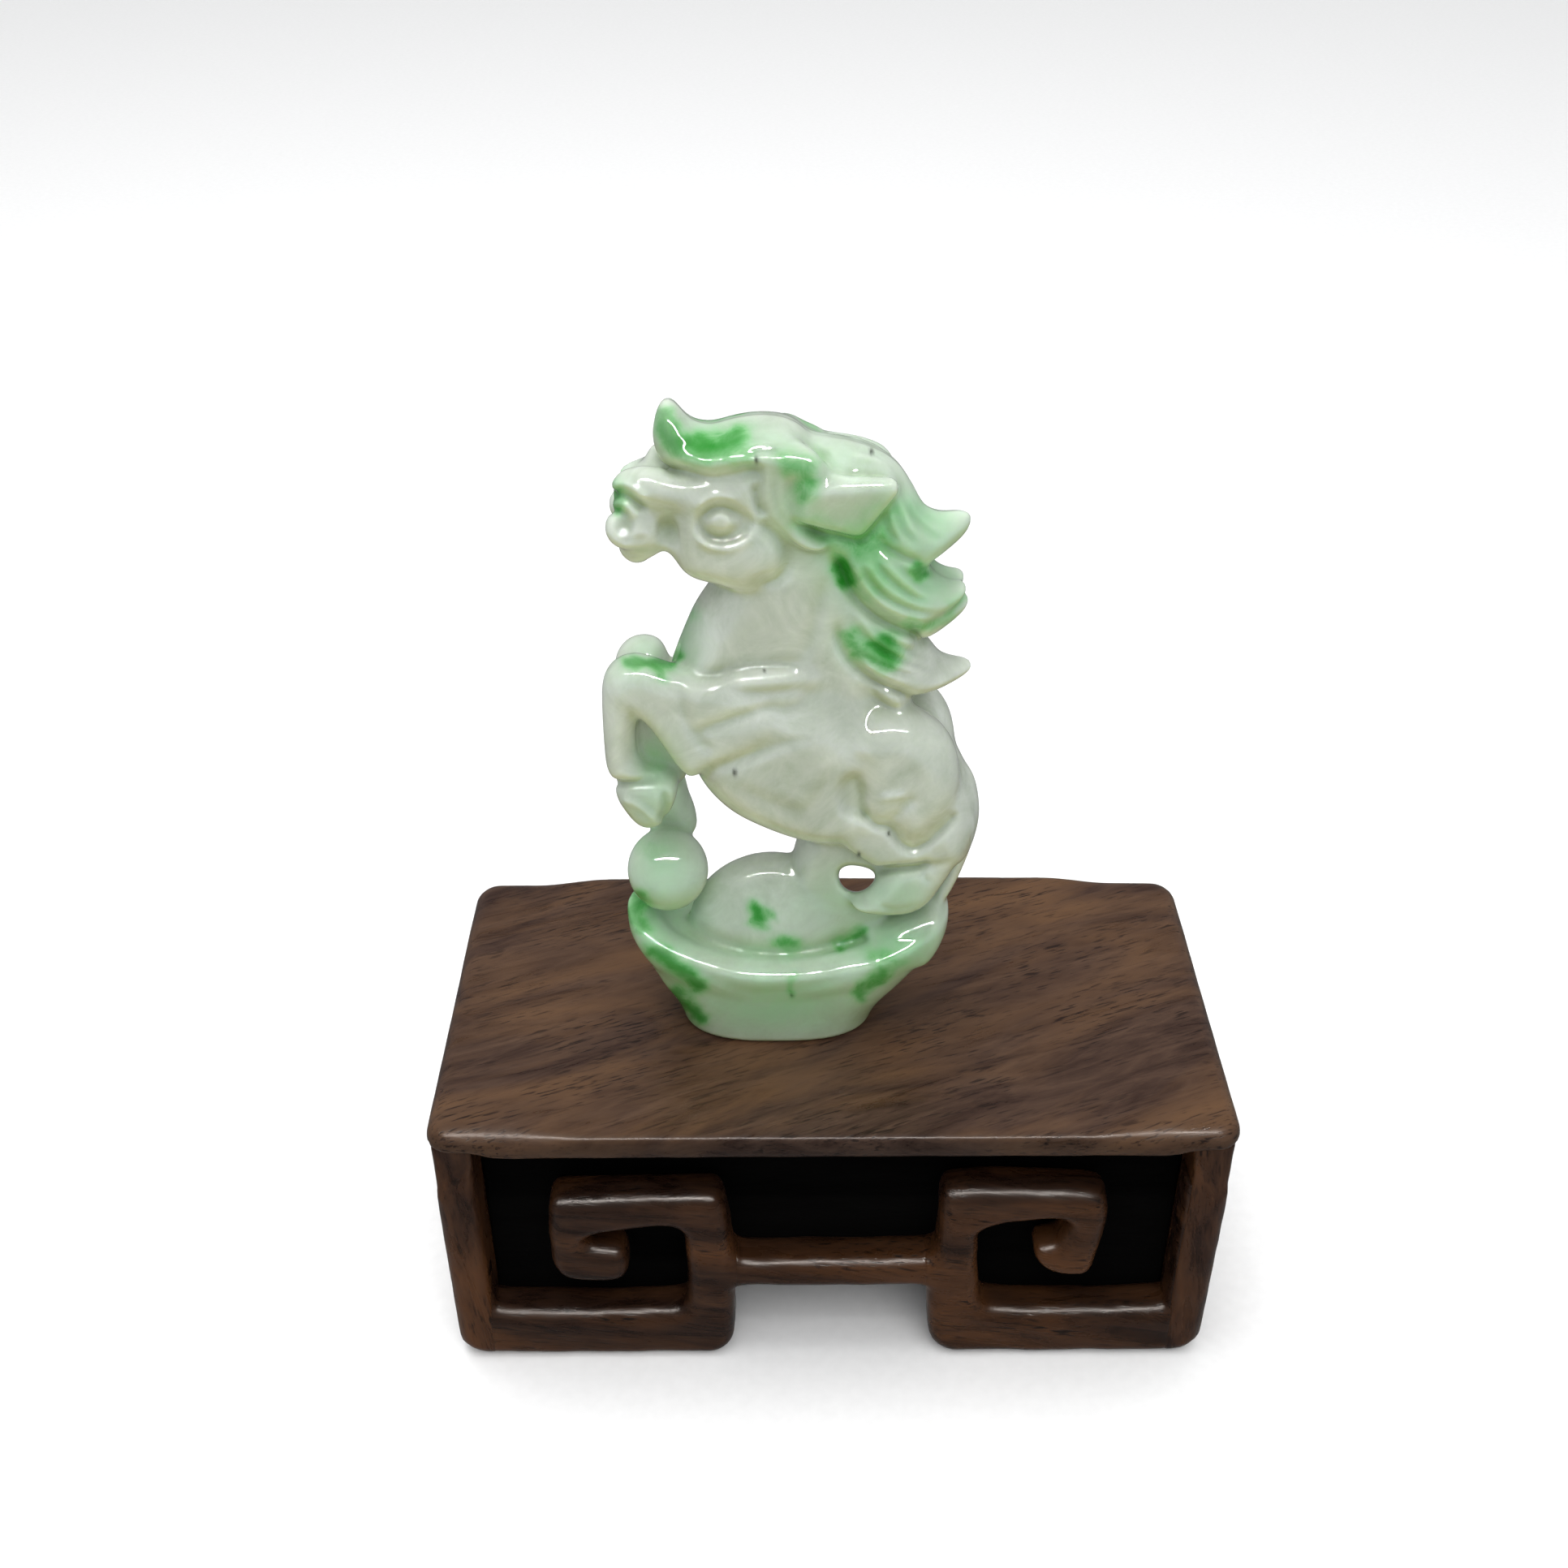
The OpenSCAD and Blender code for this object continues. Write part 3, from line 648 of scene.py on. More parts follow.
def far_and_near_legs(c):
    """Everything that differs between the two faces."""
    # web of stone between the forelegs
    c.lobe([(-25, 92), (-18, 90), (-16.8, 79), (-18.6, 76), (-25, 76)], -1.4, 2.8, 2.2, 0.5, at=-3)
    # far foreleg, with its knee lifted higher
    c.lobe([
        (-25.7, 92), (-25.2, 95.4), (-23.8, 97), (-22.1, 97.5), (-20.2, 97.1), (-19.2, 95.6), (-18, 90),
        (-20, 84), (-20, 77), (-24.8, 77), (-25.2, 84),
    ], 3.6, 3.0, 2.6, 0.6)
    c.lobe([(-12, 94), (-19, 95), (-20, 90), (-18, 82), (-14, 79), (-6, 83)], 3.4, 4.2, 3.4, 0.8)
    c.lobe([
        (-23.6, 77.4), (-18, 76.6), (-17.7, 73.7), (-16.8, 71), (-16.6, 67.6), (-22, 67.4), (-24, 72),
    ], 3.0, 2.8, 2.0, 0.5, at=0)
    # near forearm and shoulder
    c.lobe([
        (-16.9, 77.4), (-13.8, 79.7), (-11.9, 80.4), (-9, 81.8), (-6, 84.6), (-6, 88), (-9, 90.4),
        (-14, 91.4), (-17.6, 91.6), (-20, 92.6), (-23, 93.8), (-25.4, 93.1), (-26.8, 90.6), (-26, 87.8),
        (-23.4, 86.6), (-21.9, 84.8), (-20.6, 82.5), (-19.3, 80), (-18, 78),
    ], -5.6, 2.9, 2.4, 0.6, at=-7.4, grow=0.2)
    # near cannon
    c.lobe([
        (-25.6, 93.2), (-23, 93.4), (-21.8, 91), (-22.6, 88), (-23.4, 85), (-23.7, 82), (-23.5, 79.8),
        (-22.4, 78.2), (-22.6, 76.8), (-26.2, 76.9), (-27.2, 78), (-27.5, 80), (-27.4, 88.7), (-27, 91.4),
    ], -5.4, 3.0, 2.4, 0.5, at=-7)
    # near hoof, with its pastern
    c.lobe([
        (-26.3, 77.3), (-24, 78.4), (-21, 78), (-18.8, 76.6), (-18.8, 74.5), (-19.6, 72), (-20.2, 70.6),
        (-21.6, 69.7), (-23, 69.6), (-24.4, 70.3), (-25.8, 72.5), (-26.7, 74.7),
    ], -4.6, 3.4, 2.2, 0.4, at=-7, rounds=1)
    # ball
    c.egg((-20.3, -2.4, 65.1), (5.0, 5.0, 5.3), 0.35)
    # far hind leg, and the stone left between it, the dome and the near hoof
    c.lobe([
        (-3.4, 71), (-4.6, 67.6), (-5, 64), (-5, 58), (-3, 54), (1.4, 53), (5.6, 54), (8, 58), (8, 64),
        (7, 71), (3, 74), (0, 74),
    ], -0.6, 3.8, 2.6, 0.8, at=-1)
    # near gaskin, hock and cannon
    c.lobe([
        (0.8, 72.8), (0.6, 69.6), (0.9, 68), (1.8, 66.6), (3.6, 65.2), (5.4, 63.7), (7.1, 63.9),
        (11.1, 64.2), (14, 64.4), (16.2, 65.2), (16.3, 67.4), (14.8, 70.5), (12, 71.5), (9, 71),
        (6, 72.4), (3.4, 74),
    ], -4.4, 3.8, 2.6, 0.5, at=-7.2, grow=0.45)
    c.lobe([
        (11.1, 65.4), (8, 64.6), (6.5, 62.8), (5.4, 60.8), (4.2, 59.4), (2.6, 57.6), (2.8, 56.6),
        (5, 55.9), (8, 55.7), (10.6, 56.1), (12.6, 57.6), (14, 60.2), (15.2, 62.6), (16.4, 65.4),
        (15.6, 67), (13, 67),
    ], -4.2, 3.6, 2.4, 0.5, at=-6.9, grow=0.2)
    # raised right tip of the ingot under the hind hoof: a wedge with flat faces
    c.lobe([
        (3.4, 54.4), (8, 55.4), (11, 56.6), (13.1, 57.7), (14.7, 56.4), (14.9, 54.1), (14.2, 50.6),
        (13, 48.6), (12.3, 48.3), (10.3, 48.3), (6, 50),
    ], -1.4, 5.0, 1.6, 0.6, at=-4.6, rounds=1)


# Top edge of the head and mane, as seen from the front.
SKYLINE = [
    (-24.4, 117.1), (-23, 118.3), (-21.4, 119), (-20.2, 120), (-19.9, 123.4), (-19.5, 125.6),
    (-18.9, 127), (-18, 127.3), (-17.2, 126.8), (-16.2, 125.2), (-15.2, 124.4), (-13.4, 124.1),
    (-11.4, 124.8), (-8.5, 125.3), (-5.5, 125), (-3.2, 123.6), (-1, 122.9), (1.5, 122.4), (3.5, 121.7),
    (5.3, 120.8), (6.9, 119.3), (8, 117.5), (8.9, 115.2), (9.8, 114), (11.4, 113.6), (13.2, 113.9),
    (14.6, 113.7),
]
JADE_LOW = (-28.9, -10.6, 41.4)
JADE_RIGHT, JADE_TOP = 19.4, 127.6
JADE_STEP = 0.3


def carve_jade():
    """Half the block is carved and mirrored, then the legs, the ball and the lines are added."""
    n_half = int(round((MID - JADE_LOW[1]) / JADE_STEP))
    low = (JADE_LOW[0], MID - n_half * JADE_STEP, JADE_LOW[2])
    half = Clay(low, (JADE_RIGHT, MID, JADE_TOP), JADE_STEP)
    for part in (near_side, head, mane, haunch, ingot):
        part(half)
    body = Clay(low, (JADE_RIGHT, MID + n_half * JADE_STEP, JADE_TOP), JADE_STEP)
    body.d = np.concatenate([half.d, half.d[:, -2::-1]], 1)
    body.trim_behind(smooth_outline(SKYLINE, 2, False), 1.6)
    far_and_near_legs(body)
    # pierced gap beside the dome
    body.pierce([(0.7, 63.4), (1.5, 64.5), (3.4, 64.5), (5.8, 63.5), (5.2, 61.4), (3.5, 60.1), (1.4, 60.9)],
                0.5)
    body.soften(2)
    for lines in (head_lines, mane_lines, body_lines, ingot_lines):
        lines(body)
    body.soften(1)
    s, x, y, z = body.window((-ALL, -ALL, 0), (ALL, ALL, FOOT_Z + 3))
    body.d[s] = np.maximum(body.d[s], FOOT_Z - z)
    mesh, points = body.mesh("jade_horse_carved")
    paint(mesh, points, hollow_shade_amounts(body, points))
    return add_object("jade_horse_carved", mesh)


# How far the blurred field sinks, in millimetres, where a hollow counts as full and gets the full painted
# shade.
NARROW_SHADE_DEPTH = 0.16
WIDE_SHADE_DEPTH = 0.35


def hollow_shade_amounts(body, points):
    """How hollow the surface is at each point, which sets how much painted shade a hollow gets: blurring the
    field fills a hollow with stone.
    """
    blurred = Clay(body.low, body.low, body.step)
    blurred.d = np.clip(body.d, -2, 2)
    blurred.soften(9)
    narrow_shade = blurred.sample(points)
    blurred.soften(22)
    wide_shade = blurred.sample(points)
    return -narrow_shade / NARROW_SHADE_DEPTH, -wide_shade / WIDE_SHADE_DEPTH


# Vivid green stone, along paths drawn as seen: (points, width, strength).
GREEN_VEINS = [
    ([(-18.5, 124.2), (-17.9, 122.4), (-16.6, 121.1), (-14, 120.9), (-11.6, 121.5), (-10.6, 122.1)],
     0.8, 1.0),
    ([(-17, 120.4), (-13.4, 119.9), (-10.2, 120)], 0.9, 0.55),
    ([(-5, 118.9), (-3.4, 118.4), (-3, 116.8), (-3.6, 115.8)], 1.0, 0.75),
    ([(-3.6, 111.4), (-1.2, 110.4), (1.4, 109.2), (4.4, 110.6), (6, 112.8)], 1.3, 0.5),
    ([(0.4, 106.8), (1, 105.2), (1.4, 104.2)], 0.6, 1.0),
    ([(3.4, 108.4), (4.2, 106), (4.6, 103.8)], 1.3, 0.5),
    ([(9.2, 106), (9.6, 105.6)], 0.6, 1.0),
    ([(8.6, 98.9), (11, 98.9), (13, 99.8)], 0.6, 0.6),
    ([(13.6, 101.8), (14.4, 102.4)], 0.7, 0.55),
    ([(1.8, 97.4), (2.4, 95.6), (4.4, 94.6)], 0.8, 0.75),
    ([(5.6, 96.4), (6.2, 94.6)], 1.1, 1.0),
    ([(-24.2, 94), (-21.8, 94.3), (-20.2, 93.8), (-19, 93.9), (-18.4, 95)], 0.5, 1.0),
    ([(-20.4, 93.2), (-20.2, 92.4)], 0.6, 0.6),
    ([(-18.6, 97), (-17.8, 99), (-16.6, 100.6)], 0.9, 0.5),
    ([(-24.8, 116.4), (-24.5, 115.8)], 0.7, 0.8),
    ([(-24.4, 114.6), (-23.8, 114.1)], 0.6, 0.9),
    ([(-24.4, 59.4), (-24.9, 56.6), (-24.2, 54.6)], 0.9, 0.9),
    ([(-22.4, 50.8), (-20.2, 48.4), (-18.4, 46.6), (-17.2, 45)], 0.9, 1.0),
    ([(-20.2, 43.2), (-18.9, 41.4), (-17.4, 39.4)], 0.9, 0.95),
    ([(-9.5, 57.6), (-9.3, 56.4)], 0.75, 1.0),
    ([(-9.2, 55), (-8.7, 54.4)], 0.5, 0.6),
    ([(-7.6, 57.2), (-7.2, 56.2)], 0.5, 0.5),
    ([(-6.4, 52.3), (-5, 51.6)], 0.8, 0.75),
    ([(1.4, 51.6), (3, 53), (3.8, 54)], 0.7, 0.8),
    ([(6, 50), (8.8, 48.7)], 0.9, 0.6),
    ([(3.8, 43.2), (5.2, 45), (6.8, 46.8)], 0.8, 0.85),
    ([(-4.9, 46.4), (-5, 43.2)], 0.4, 0.55),
    ([(-21.6, 81.6), (-21, 79.4)], 1.2, 0.35),
    ([(-23.6, 68), (-22, 67)], 1.2, 0.4),
]
# Paler green that colours whole regions: (x, z, radius along x, radius along z, amount).
GREEN_WASH = [
    (-13, 121.4, 6.5, 2.6, 0.8), (-6, 114, 2.4, 5, 0.35), (4.4, 108.6, 6.6, 5, 0.97),
    (8, 112, 4.6, 4, 0.8), (8.6, 103.4, 6.4, 4, 0.85), (4, 96.6, 3.8, 3.2, 0.6), (0, 119.5, 7, 3, 0.35),
    (-7, 42, 16, 7, 0.85), (-21, 64.5, 5, 6, 0.65), (-22, 57, 5, 4, 0.8), (-20.5, 74, 4, 5, 0.5),
    (-21, 80, 2.5, 4, 0.5), (9, 60, 4, 4, 0.45), (9, 51.6, 7, 5, 0.95), (-22, 50, 5, 6, 0.8),
    (-8, 57, 11, 7, 0.22), (-7, 50.6, 9, 1.6, 0.5), (-18, 98, 2.5, 4, 0.5),
    (-23.8, 115.2, 2.2, 2.4, 0.45), (2, 60, 5, 5, 0.5), (-22, 93.4, 5, 2.4, 0.4), (14, 110, 3, 3, 0.4),
]
# Small dark inclusions: (x, z, radius).
INCLUSIONS = [
    (-11.8, 78.6, 0.55), (3.4, 66.2, 0.45), (7.0, 69.4, 0.35), (3.6, 120.2, 0.4), (-8.7, 119.3, 0.45),
    (-8.1, 92.9, 0.25), (-4.9, 43.0, 0.3),
]


# How far green stone reaches out of a vein, in widths.
VEIN_SPREAD = 1.9
# The layers painted on the stone, which its material reads: green, pale wash, dark inclusions, and two
# measures of how hollow the surface is, for painted shade in hollow places and painted light on ridges.
PAINTED = ("green", "wash", "dark", "narrow_shade", "wide_shade")


def paint(mesh, points, hollow):
    """Per-point amounts of green, of dark inclusion and of hollow (for the painted shade), as seen from
    either face.
    """
    sx, sz = as_seen(*points.T)
    # the veins are bent by a slow ripple, so that their edges wander
    vx = sx + 0.25 * np.sin(1.1 * sz + 0.7 * sx) + 0.1 * np.sin(2.9 * sz - 2.1 * sx + 1)
    vz = sz + 0.25 * np.sin(1.3 * sx - 0.9 * sz + 2) + 0.1 * np.sin(2.7 * sx + 1.7 * sz)
    green = np.zeros(len(points))
    for path, width, amount in GREEN_VEINS:
        dist, _ = to_path(vx, vz, np.array(path, float))
        here = amount * np.exp(-((dist / (VEIN_SPREAD * width)) ** 2))
        green = 1 - (1 - green) * (1 - np.clip(here, 0, 0.98))
    wash = np.zeros(len(points))
    for x, z, rx, rz, amount in GREEN_WASH:
        q = ((sx - x) / rx) ** 2 + ((sz - z) / rz) ** 2
        wash = 1 - (1 - wash) * (1 - amount * np.exp(-q))
    dark = np.zeros(len(points))
    for x, z, r in INCLUSIONS:
        q = ((sx - x) / (0.5 * r)) ** 2 + ((sz - z) / r) ** 2
        dark = np.maximum(dark, np.exp(-q) * (points[:, 1] < MID))
    for name, values in zip(PAINTED, (green, wash, dark, *hollow)):
        layer = mesh.attributes.new(name, "FLOAT", "POINT")
        layer.data.foreach_set("value", values.astype(np.float32))


# ---------------------------------------------------------------- materials


class Shader:
    """A small helper over a material's node tree."""

    def __init__(self, name):
        self.material = bpy.data.materials.new(name)
        self.material.use_nodes = True
        self.tree = self.material.node_tree
        self.tree.nodes.clear()
        self.out = self.node("ShaderNodeOutputMaterial")
        self.bsdf = self.node("ShaderNodeBsdfPrincipled")
        self.link(self.bsdf, "BSDF", self.out, "Surface")
        self.place = self.node("ShaderNodeTexCoord")

    def surface(self, sockets):
        """Sets inputs of the surface shader, or links them where the value is another node's output."""
        for name, value in sockets.items():
            if isinstance(value, bpy.types.NodeSocket):
                self.tree.links.new(value, self.bsdf.inputs[name])
            else:
                self.bsdf.inputs[name].default_value = value

    def node(self, kind, **values):
        n = self.tree.nodes.new(kind)
        for key, value in values.items():
            setattr(n, key, value)
        return n

    def link(self, a, socket_a, b, socket_b):
        self.tree.links.new(a.outputs[socket_a], b.inputs[socket_b])

    def stretched(self, scale, turn=(0, 0, 0)):
        """Object coordinates turned by the angles in degrees, then scaled along the turned axes."""
        mapping = self.node("ShaderNodeMapping", vector_type="TEXTURE")
        mapping.inputs["Rotation"].default_value = [math.radians(a) for a in turn]
        mapping.inputs["Scale"].default_value = [1 / v for v in scale]
        self.link(self.place, "Object", mapping, "Vector")
        return mapping

    def noise(self, source, scale, detail=4.0, rough=0.5, distort=0.0):
        n = self.node("ShaderNodeTexNoise")
        n.inputs["Scale"].default_value = scale
        n.inputs["Detail"].default_value = detail
        n.inputs["Roughness"].default_value = rough
        n.inputs["Distortion"].default_value = distort
        self.tree.links.new(source.outputs[0 if source is not self.place else "Object"], n.inputs["Vector"])
        return n

    def ramp(self, source, socket, stops):
        n = self.node("ShaderNodeValToRGB")
        e = n.color_ramp.elements
        while len(e) < len(stops):
            e.new(0.5)
        for item, (at, colour) in zip(e, stops):
            item.position = at
            item.color = (*colour, 1)
        self.link(source, socket, n, "Fac")
        return n

    def mix(self, factor, a, b, kind="MIX"):
        n = self.node("ShaderNodeMix", data_type="RGBA", blend_type=kind)
        for socket, value in (("Factor", factor), ("A", a), ("B", b)):
            fits = [i for i in n.inputs if i.name == socket and (i.type == "RGBA" or socket == "Factor")]
            target = fits[0]
            if isinstance(value, tuple):
                target.default_value = (*value, 1)
            elif isinstance(value, float):
                target.default_value = value
            else:
                self.tree.links.new(value, target)
        return n.outputs["Result"] if n.outputs["Result"].type == "RGBA" else n.outputs[2]

    def maths(self, operation, a, b=None, clamp=False):
        n = self.node("ShaderNodeMath", operation=operation, use_clamp=clamp)
        for i, value in enumerate((a, b)):
            if value is None:
                continue
            if isinstance(value, (int, float)):
                n.inputs[i].default_value = value
            else:
                self.tree.links.new(value, n.inputs[i])
        return n.outputs[0]

    def bump(self, height, distance, strength=1.0, below=None):
        n = self.node("ShaderNodeBump")
        n.inputs["Strength"].default_value = strength
        n.inputs["Distance"].default_value = distance
        self.tree.links.new(height, n.inputs["Height"])
        if below is not None:
            self.tree.links.new(below, n.inputs["Normal"])
        return n.outputs["Normal"]


def jade_material():
    """Milky grey-green stone with clouds, vivid green veins and a wet polish, and painted light: olive shade
    in hollow places, paler ridges and darker, yellower undersides.
    """
    m = Shader("jade")
    green, wash, dark, narrow_shade, wide_shade = (
        m.node("ShaderNodeAttribute", attribute_name=name) for name in PAINTED
    )
    clouds = m.noise(m.place, 150, 7, 0.66, 0.8)
    fine = m.noise(m.place, 1300, 6, 0.62, 0.4)
    torn = m.noise(m.place, 420, 6, 0.65, 0.6)
    veil = m.noise(m.stretched((1, 1, 0.5), (0, 30, 0)), 150, 5, 0.6, 1.0)
    base = m.ramp(clouds, "Fac", [(0.30, (0.375, 0.425, 0.345)), (0.5, (0.46, 0.51, 0.435)),
                                  (0.70, (0.575, 0.625, 0.565))])
    veins = m.ramp(veil, "Fac", [(0.38, (0, 0, 0)), (0.5, (1, 1, 1)), (0.62, (0, 0, 0))])
    faint = m.maths("MULTIPLY", veins.outputs["Color"], 0.25)
    milky = m.mix(faint, base.outputs["Color"], (0.60, 0.63, 0.58))
    # the pale green comes and goes with the clouds
    patchy = m.ramp(clouds, "Fac", [(0.25, (0.5,) * 3), (0.6, (1, 1, 1))])
    washed = m.maths("MULTIPLY", wash.outputs["Fac"], patchy.outputs["Color"])
    pale = m.mix(m.maths("MULTIPLY", washed, 0.85), milky, (0.23, 0.53, 0.26))
    # vivid patches break up into specks at their edges
    solid = m.maths("SUBTRACT", 1.1, m.maths("MULTIPLY", green.outputs["Fac"], 0.5))
    speck = m.maths("MULTIPLY", m.maths("SUBTRACT", torn.outputs["Fac"], 0.5), solid)
    gate = m.ramp(green, "Fac", [(0.02, (0, 0, 0)), (0.5, (1, 1, 1))])
    broken = m.maths("MULTIPLY", m.maths("ADD", green.outputs["Fac"], speck), gate.outputs["Color"], True)
    light_green = m.mix(m.maths("MULTIPLY", broken, 1.05, True), pale, (0.10, 0.42, 0.105))
    deep = m.maths("SUBTRACT", m.maths("MULTIPLY", broken, 1.9), 1.05, True)
    coloured = m.mix(deep, light_green, (0.006, 0.22, 0.007))
    # painted shade: hollow places are made darker and more olive; painted light: ridges are made paler
    hollow = m.maths("MULTIPLY", m.maths("MAXIMUM", narrow_shade.outputs["Fac"], wide_shade.outputs["Fac"]), 0.5, True)
    coloured = m.mix(hollow, coloured, (0.78, 0.86, 0.68), "MULTIPLY")
    ridge = m.maths("MULTIPLY", narrow_shade.outputs["Fac"], -0.16, True)
    coloured = m.mix(ridge, coloured, (0.75, 0.78, 0.74))
    coloured = m.mix(dark.outputs["Fac"], coloured, (0.02, 0.02, 0.012))
    # painted shade: faces that don't look up are made darker and yellower, undersides most
    facing = m.node("ShaderNodeSeparateXYZ")
    m.link(m.place, "Normal", facing, "Vector")
    under = m.maths("MULTIPLY", m.maths("SUBTRACT", 0.15, facing.outputs["Z"]), 2.0, True)
    coloured = m.mix(under, coloured, (0.86, 0.84, 0.62), "MULTIPLY")
    rough = m.ramp(fine, "Fac", [(0.3, (0.02,) * 3), (0.7, (0.045,) * 3)])
    wave = m.noise(m.place, 240, 3, 0.5)
    grain = m.noise(m.place, 900, 3, 0.5)
    n1 = m.bump(wave.outputs["Fac"], 0.0003, 0.3)
    m.surface({
        "Base Color": coloured,
        "Roughness": rough.outputs["Color"],
        "Normal": m.bump(grain.outputs["Fac"], 0.00002, 0.15, n1),
        "Subsurface Weight": 0.85,
        "Subsurface Radius": (0.9, 1.0, 0.75),
        "Subsurface Scale": 0.0014,
        "IOR": 1.62,
    })
    return m.material


def wood_material(name, tones, turn=(0, 0, 0), sheen_rough=0.3, pores=1.0, specular=0.3, face_shade=(0.62, 1.0)):
    """Dark close-grained wood: long streaks, fine short pores, and a darkening that differs between upright
    and level faces, which is painted shade.

    The last argument is how much light that darkening leaves on an upright face and on a level one.
    """
    m = Shader(name)
    streak = m.noise(m.stretched((0.14, 1.0, 1.0), turn), 420, 7, 0.66, 0.9)
    broad = m.noise(m.stretched((0.3, 1.0, 1.0), turn), 75, 4, 0.55, 1.2)
    pore = m.noise(m.stretched((0.11, 1.0, 1.0), turn), 3200, 2, 0.5, 0.2)
    sparse = m.noise(m.stretched((0.4, 1.0, 1.0), turn), 160, 3, 0.5, 0.5)
    blotch = m.noise(m.place, 45, 3, 0.5)
    base = m.ramp(streak, "Fac", [(0.34, tones[0]), (0.5, tones[1]), (0.68, tones[2])])
    warm = m.mix(m.ramp(broad, "Fac", [(0.42, (0, 0, 0)), (0.68, (1, 1, 1))]).outputs["Color"],
                 base.outputs["Color"], tones[3])
    where = m.ramp(sparse, "Fac", [(0.40, (0.15,) * 3), (0.62, (1, 1, 1))])
    pits = m.ramp(pore, "Fac", [(0.55, (0, 0, 0)), (0.66, (1, 1, 1))])
    pitted = m.maths("MULTIPLY", pits.outputs["Color"], where.outputs["Color"])
    dotted = m.mix(m.maths("MULTIPLY", pitted, 0.9 * pores), warm, tones[4])
    dulled = m.mix(m.maths("MULTIPLY", blotch.outputs["Fac"], 0.35), dotted, tones[0])
    # painted shade: faces are darkened by how they tilt, upright against level
    upward = m.node("ShaderNodeSeparateXYZ")
    m.link(m.place, "Normal", upward, "Vector")
    face_shade_ramp = m.ramp(upward, "Z", [(0.15, (face_shade[0],) * 3), (0.85, (face_shade[1],) * 3)])
    face_shaded = m.mix(1.0, dulled, face_shade_ramp.outputs["Color"], "MULTIPLY")
    rough = m.ramp(streak, "Fac", [(0.3, (sheen_rough - 0.05,) * 3), (0.7, (sheen_rough + 0.10,) * 3)])
    n1 = m.bump(blotch.outputs["Fac"], 0.0012, 0.35)
    n2 = m.bump(streak.outputs["Fac"], 0.00010, 0.6, n1)
    m.surface({
        "Base Color": face_shaded,
        "Roughness": rough.outputs["Color"],
        "Normal": m.bump(m.maths("SUBTRACT", 1.0, pitted), 0.00003, 0.5 * pores, n2),
        "IOR": 1.45,
        "Specular IOR Level": specular,
        "Specular Tint": (1.0, 0.92, 0.86, 1),
    })
    return m.material


# Each wood: dark streak, body, light streak, warm band, pores.
ROSEWOOD = [
    (0.022, 0.010, 0.007), (0.052, 0.028, 0.019), (0.088, 0.049, 0.031), (0.120, 0.062, 0.030),
    (0.007, 0.003, 0.002),
]
REDWOOD = [
    (0.012, 0.005, 0.003), (0.036, 0.015, 0.008), (0.075, 0.032, 0.014), (0.130, 0.050, 0.016),
    (0.005, 0.002, 0.001),
]
# Black for the ground panels, set near zero so that the black wood also stands in for the deep shade in the
# recess: partly painted shade.
BLACK_AND_SHADE = [(0.0008,) * 3, (0.0012,) * 3, (0.0018,) * 3, (0.002,) * 3, (0.0006,) * 3]


# The stand's front, in the X-Z plane: its outer edge, then the edge of the dark window inside it.
STAND_EDGE = [
    (-49.6, 46), (-49.6, 4), (-48.8, 1.4), (-46.4, 0), (-44, 0), (-17, 0), (-15, 0.2), (-13.2, 1.6),
    (-12.7, 4), (-12.6, 11.6), (-12.2, 13), (-10.6, 13.3), (9.6, 13.3), (11.8, 13.1), (12.5, 12),
    (12.9, 4.4), (13.6, 1.8), (15.6, 0.2), (18, 0), (44, 0), (46.4, 0), (48.8, 1.4), (49.6, 4),
    (49.6, 46),
]
WINDOW = [
    (-44.6, 9.4), (-44.7, 30), (-44.6, 36.6), (-43.8, 38), (-41, 38.4), (-20, 38.7), (20, 38.9),
    (41, 38.7), (43.4, 38.2), (44, 36.8), (44, 30), (44.4, 9.4), (43.6, 8.5), (30, 8.3), (21.4, 8.5),
    (19.9, 9.4), (19.3, 12), (18.6, 21), (18.9, 23.3), (20.4, 24.6), (25, 25.4), (28.4, 25.9), (30, 25),
    (30.3, 23.6), (29.4, 22.1), (29, 21), (27.6, 20.5), (26.2, 20.4), (26, 18.6), (27.4, 16.4),
    (30, 15.1), (33, 15.1), (34.1, 16.8), (34.3, 20.5), (35, 24), (34.8, 29), (33.6, 30.5), (27, 31),
    (20, 31.2), (14.6, 31), (13.5, 30), (13.6, 26), (13.6, 20.4), (13, 18.6), (10.6, 18.2), (0, 18.2),
    (-10, 18), (-12.2, 18.3), (-12.8, 20.4), (-13.3, 26), (-13.9, 29.4), (-15.2, 30.3), (-24, 30.1),
    (-34.4, 29.9), (-35.8, 28.8), (-36.2, 22), (-36.1, 17.4), (-35, 15.1), (-32.4, 14.2), (-29.4, 14.3),
    (-27.2, 14.8), (-26.3, 16), (-26.3, 18.8), (-27, 20.2), (-28.8, 20.4), (-30.6, 20.7), (-31.7, 21.6),
    (-31, 22.8), (-29, 23.6), (-25, 24.3), (-21.2, 24.7), (-19.4, 24), (-18.8, 22), (-18.6, 12),
    (-19, 9.6), (-20.4, 8.6), (-30, 8.3), (-43.6, 8.5),
]
# Millimetres: rounding of the frame's members, its swelling at the top, the depth of the knife's
# waves, how far a fret runs on under its side board, and the rounding of the stand's feet.
ROUNDING = 2.0
SWELL = 0.35
KNIFE = 0.06
TUCK = 0.6
FOOT_RADIUS = 3.4
# The top board: its rounded edges and corners, how far its slab starts above its underside, where
# the swelling frame shows, its finer waves, and what is taken off all round.
SLAB_EDGE = 2.3
SLAB_CORNER = 3.4
SLAB_LIFT = 0.9
SLAB_KNIFE = 0.025
SLAB_SHRINK = 0.03
# A board is drawn this far past an end that is then cut flat.
PAST_END = 4
# How far a side board stays behind the frame's faces, and its rounded edges.
BOARD_BACK = 1.5
BOARD_EDGE = 0.8
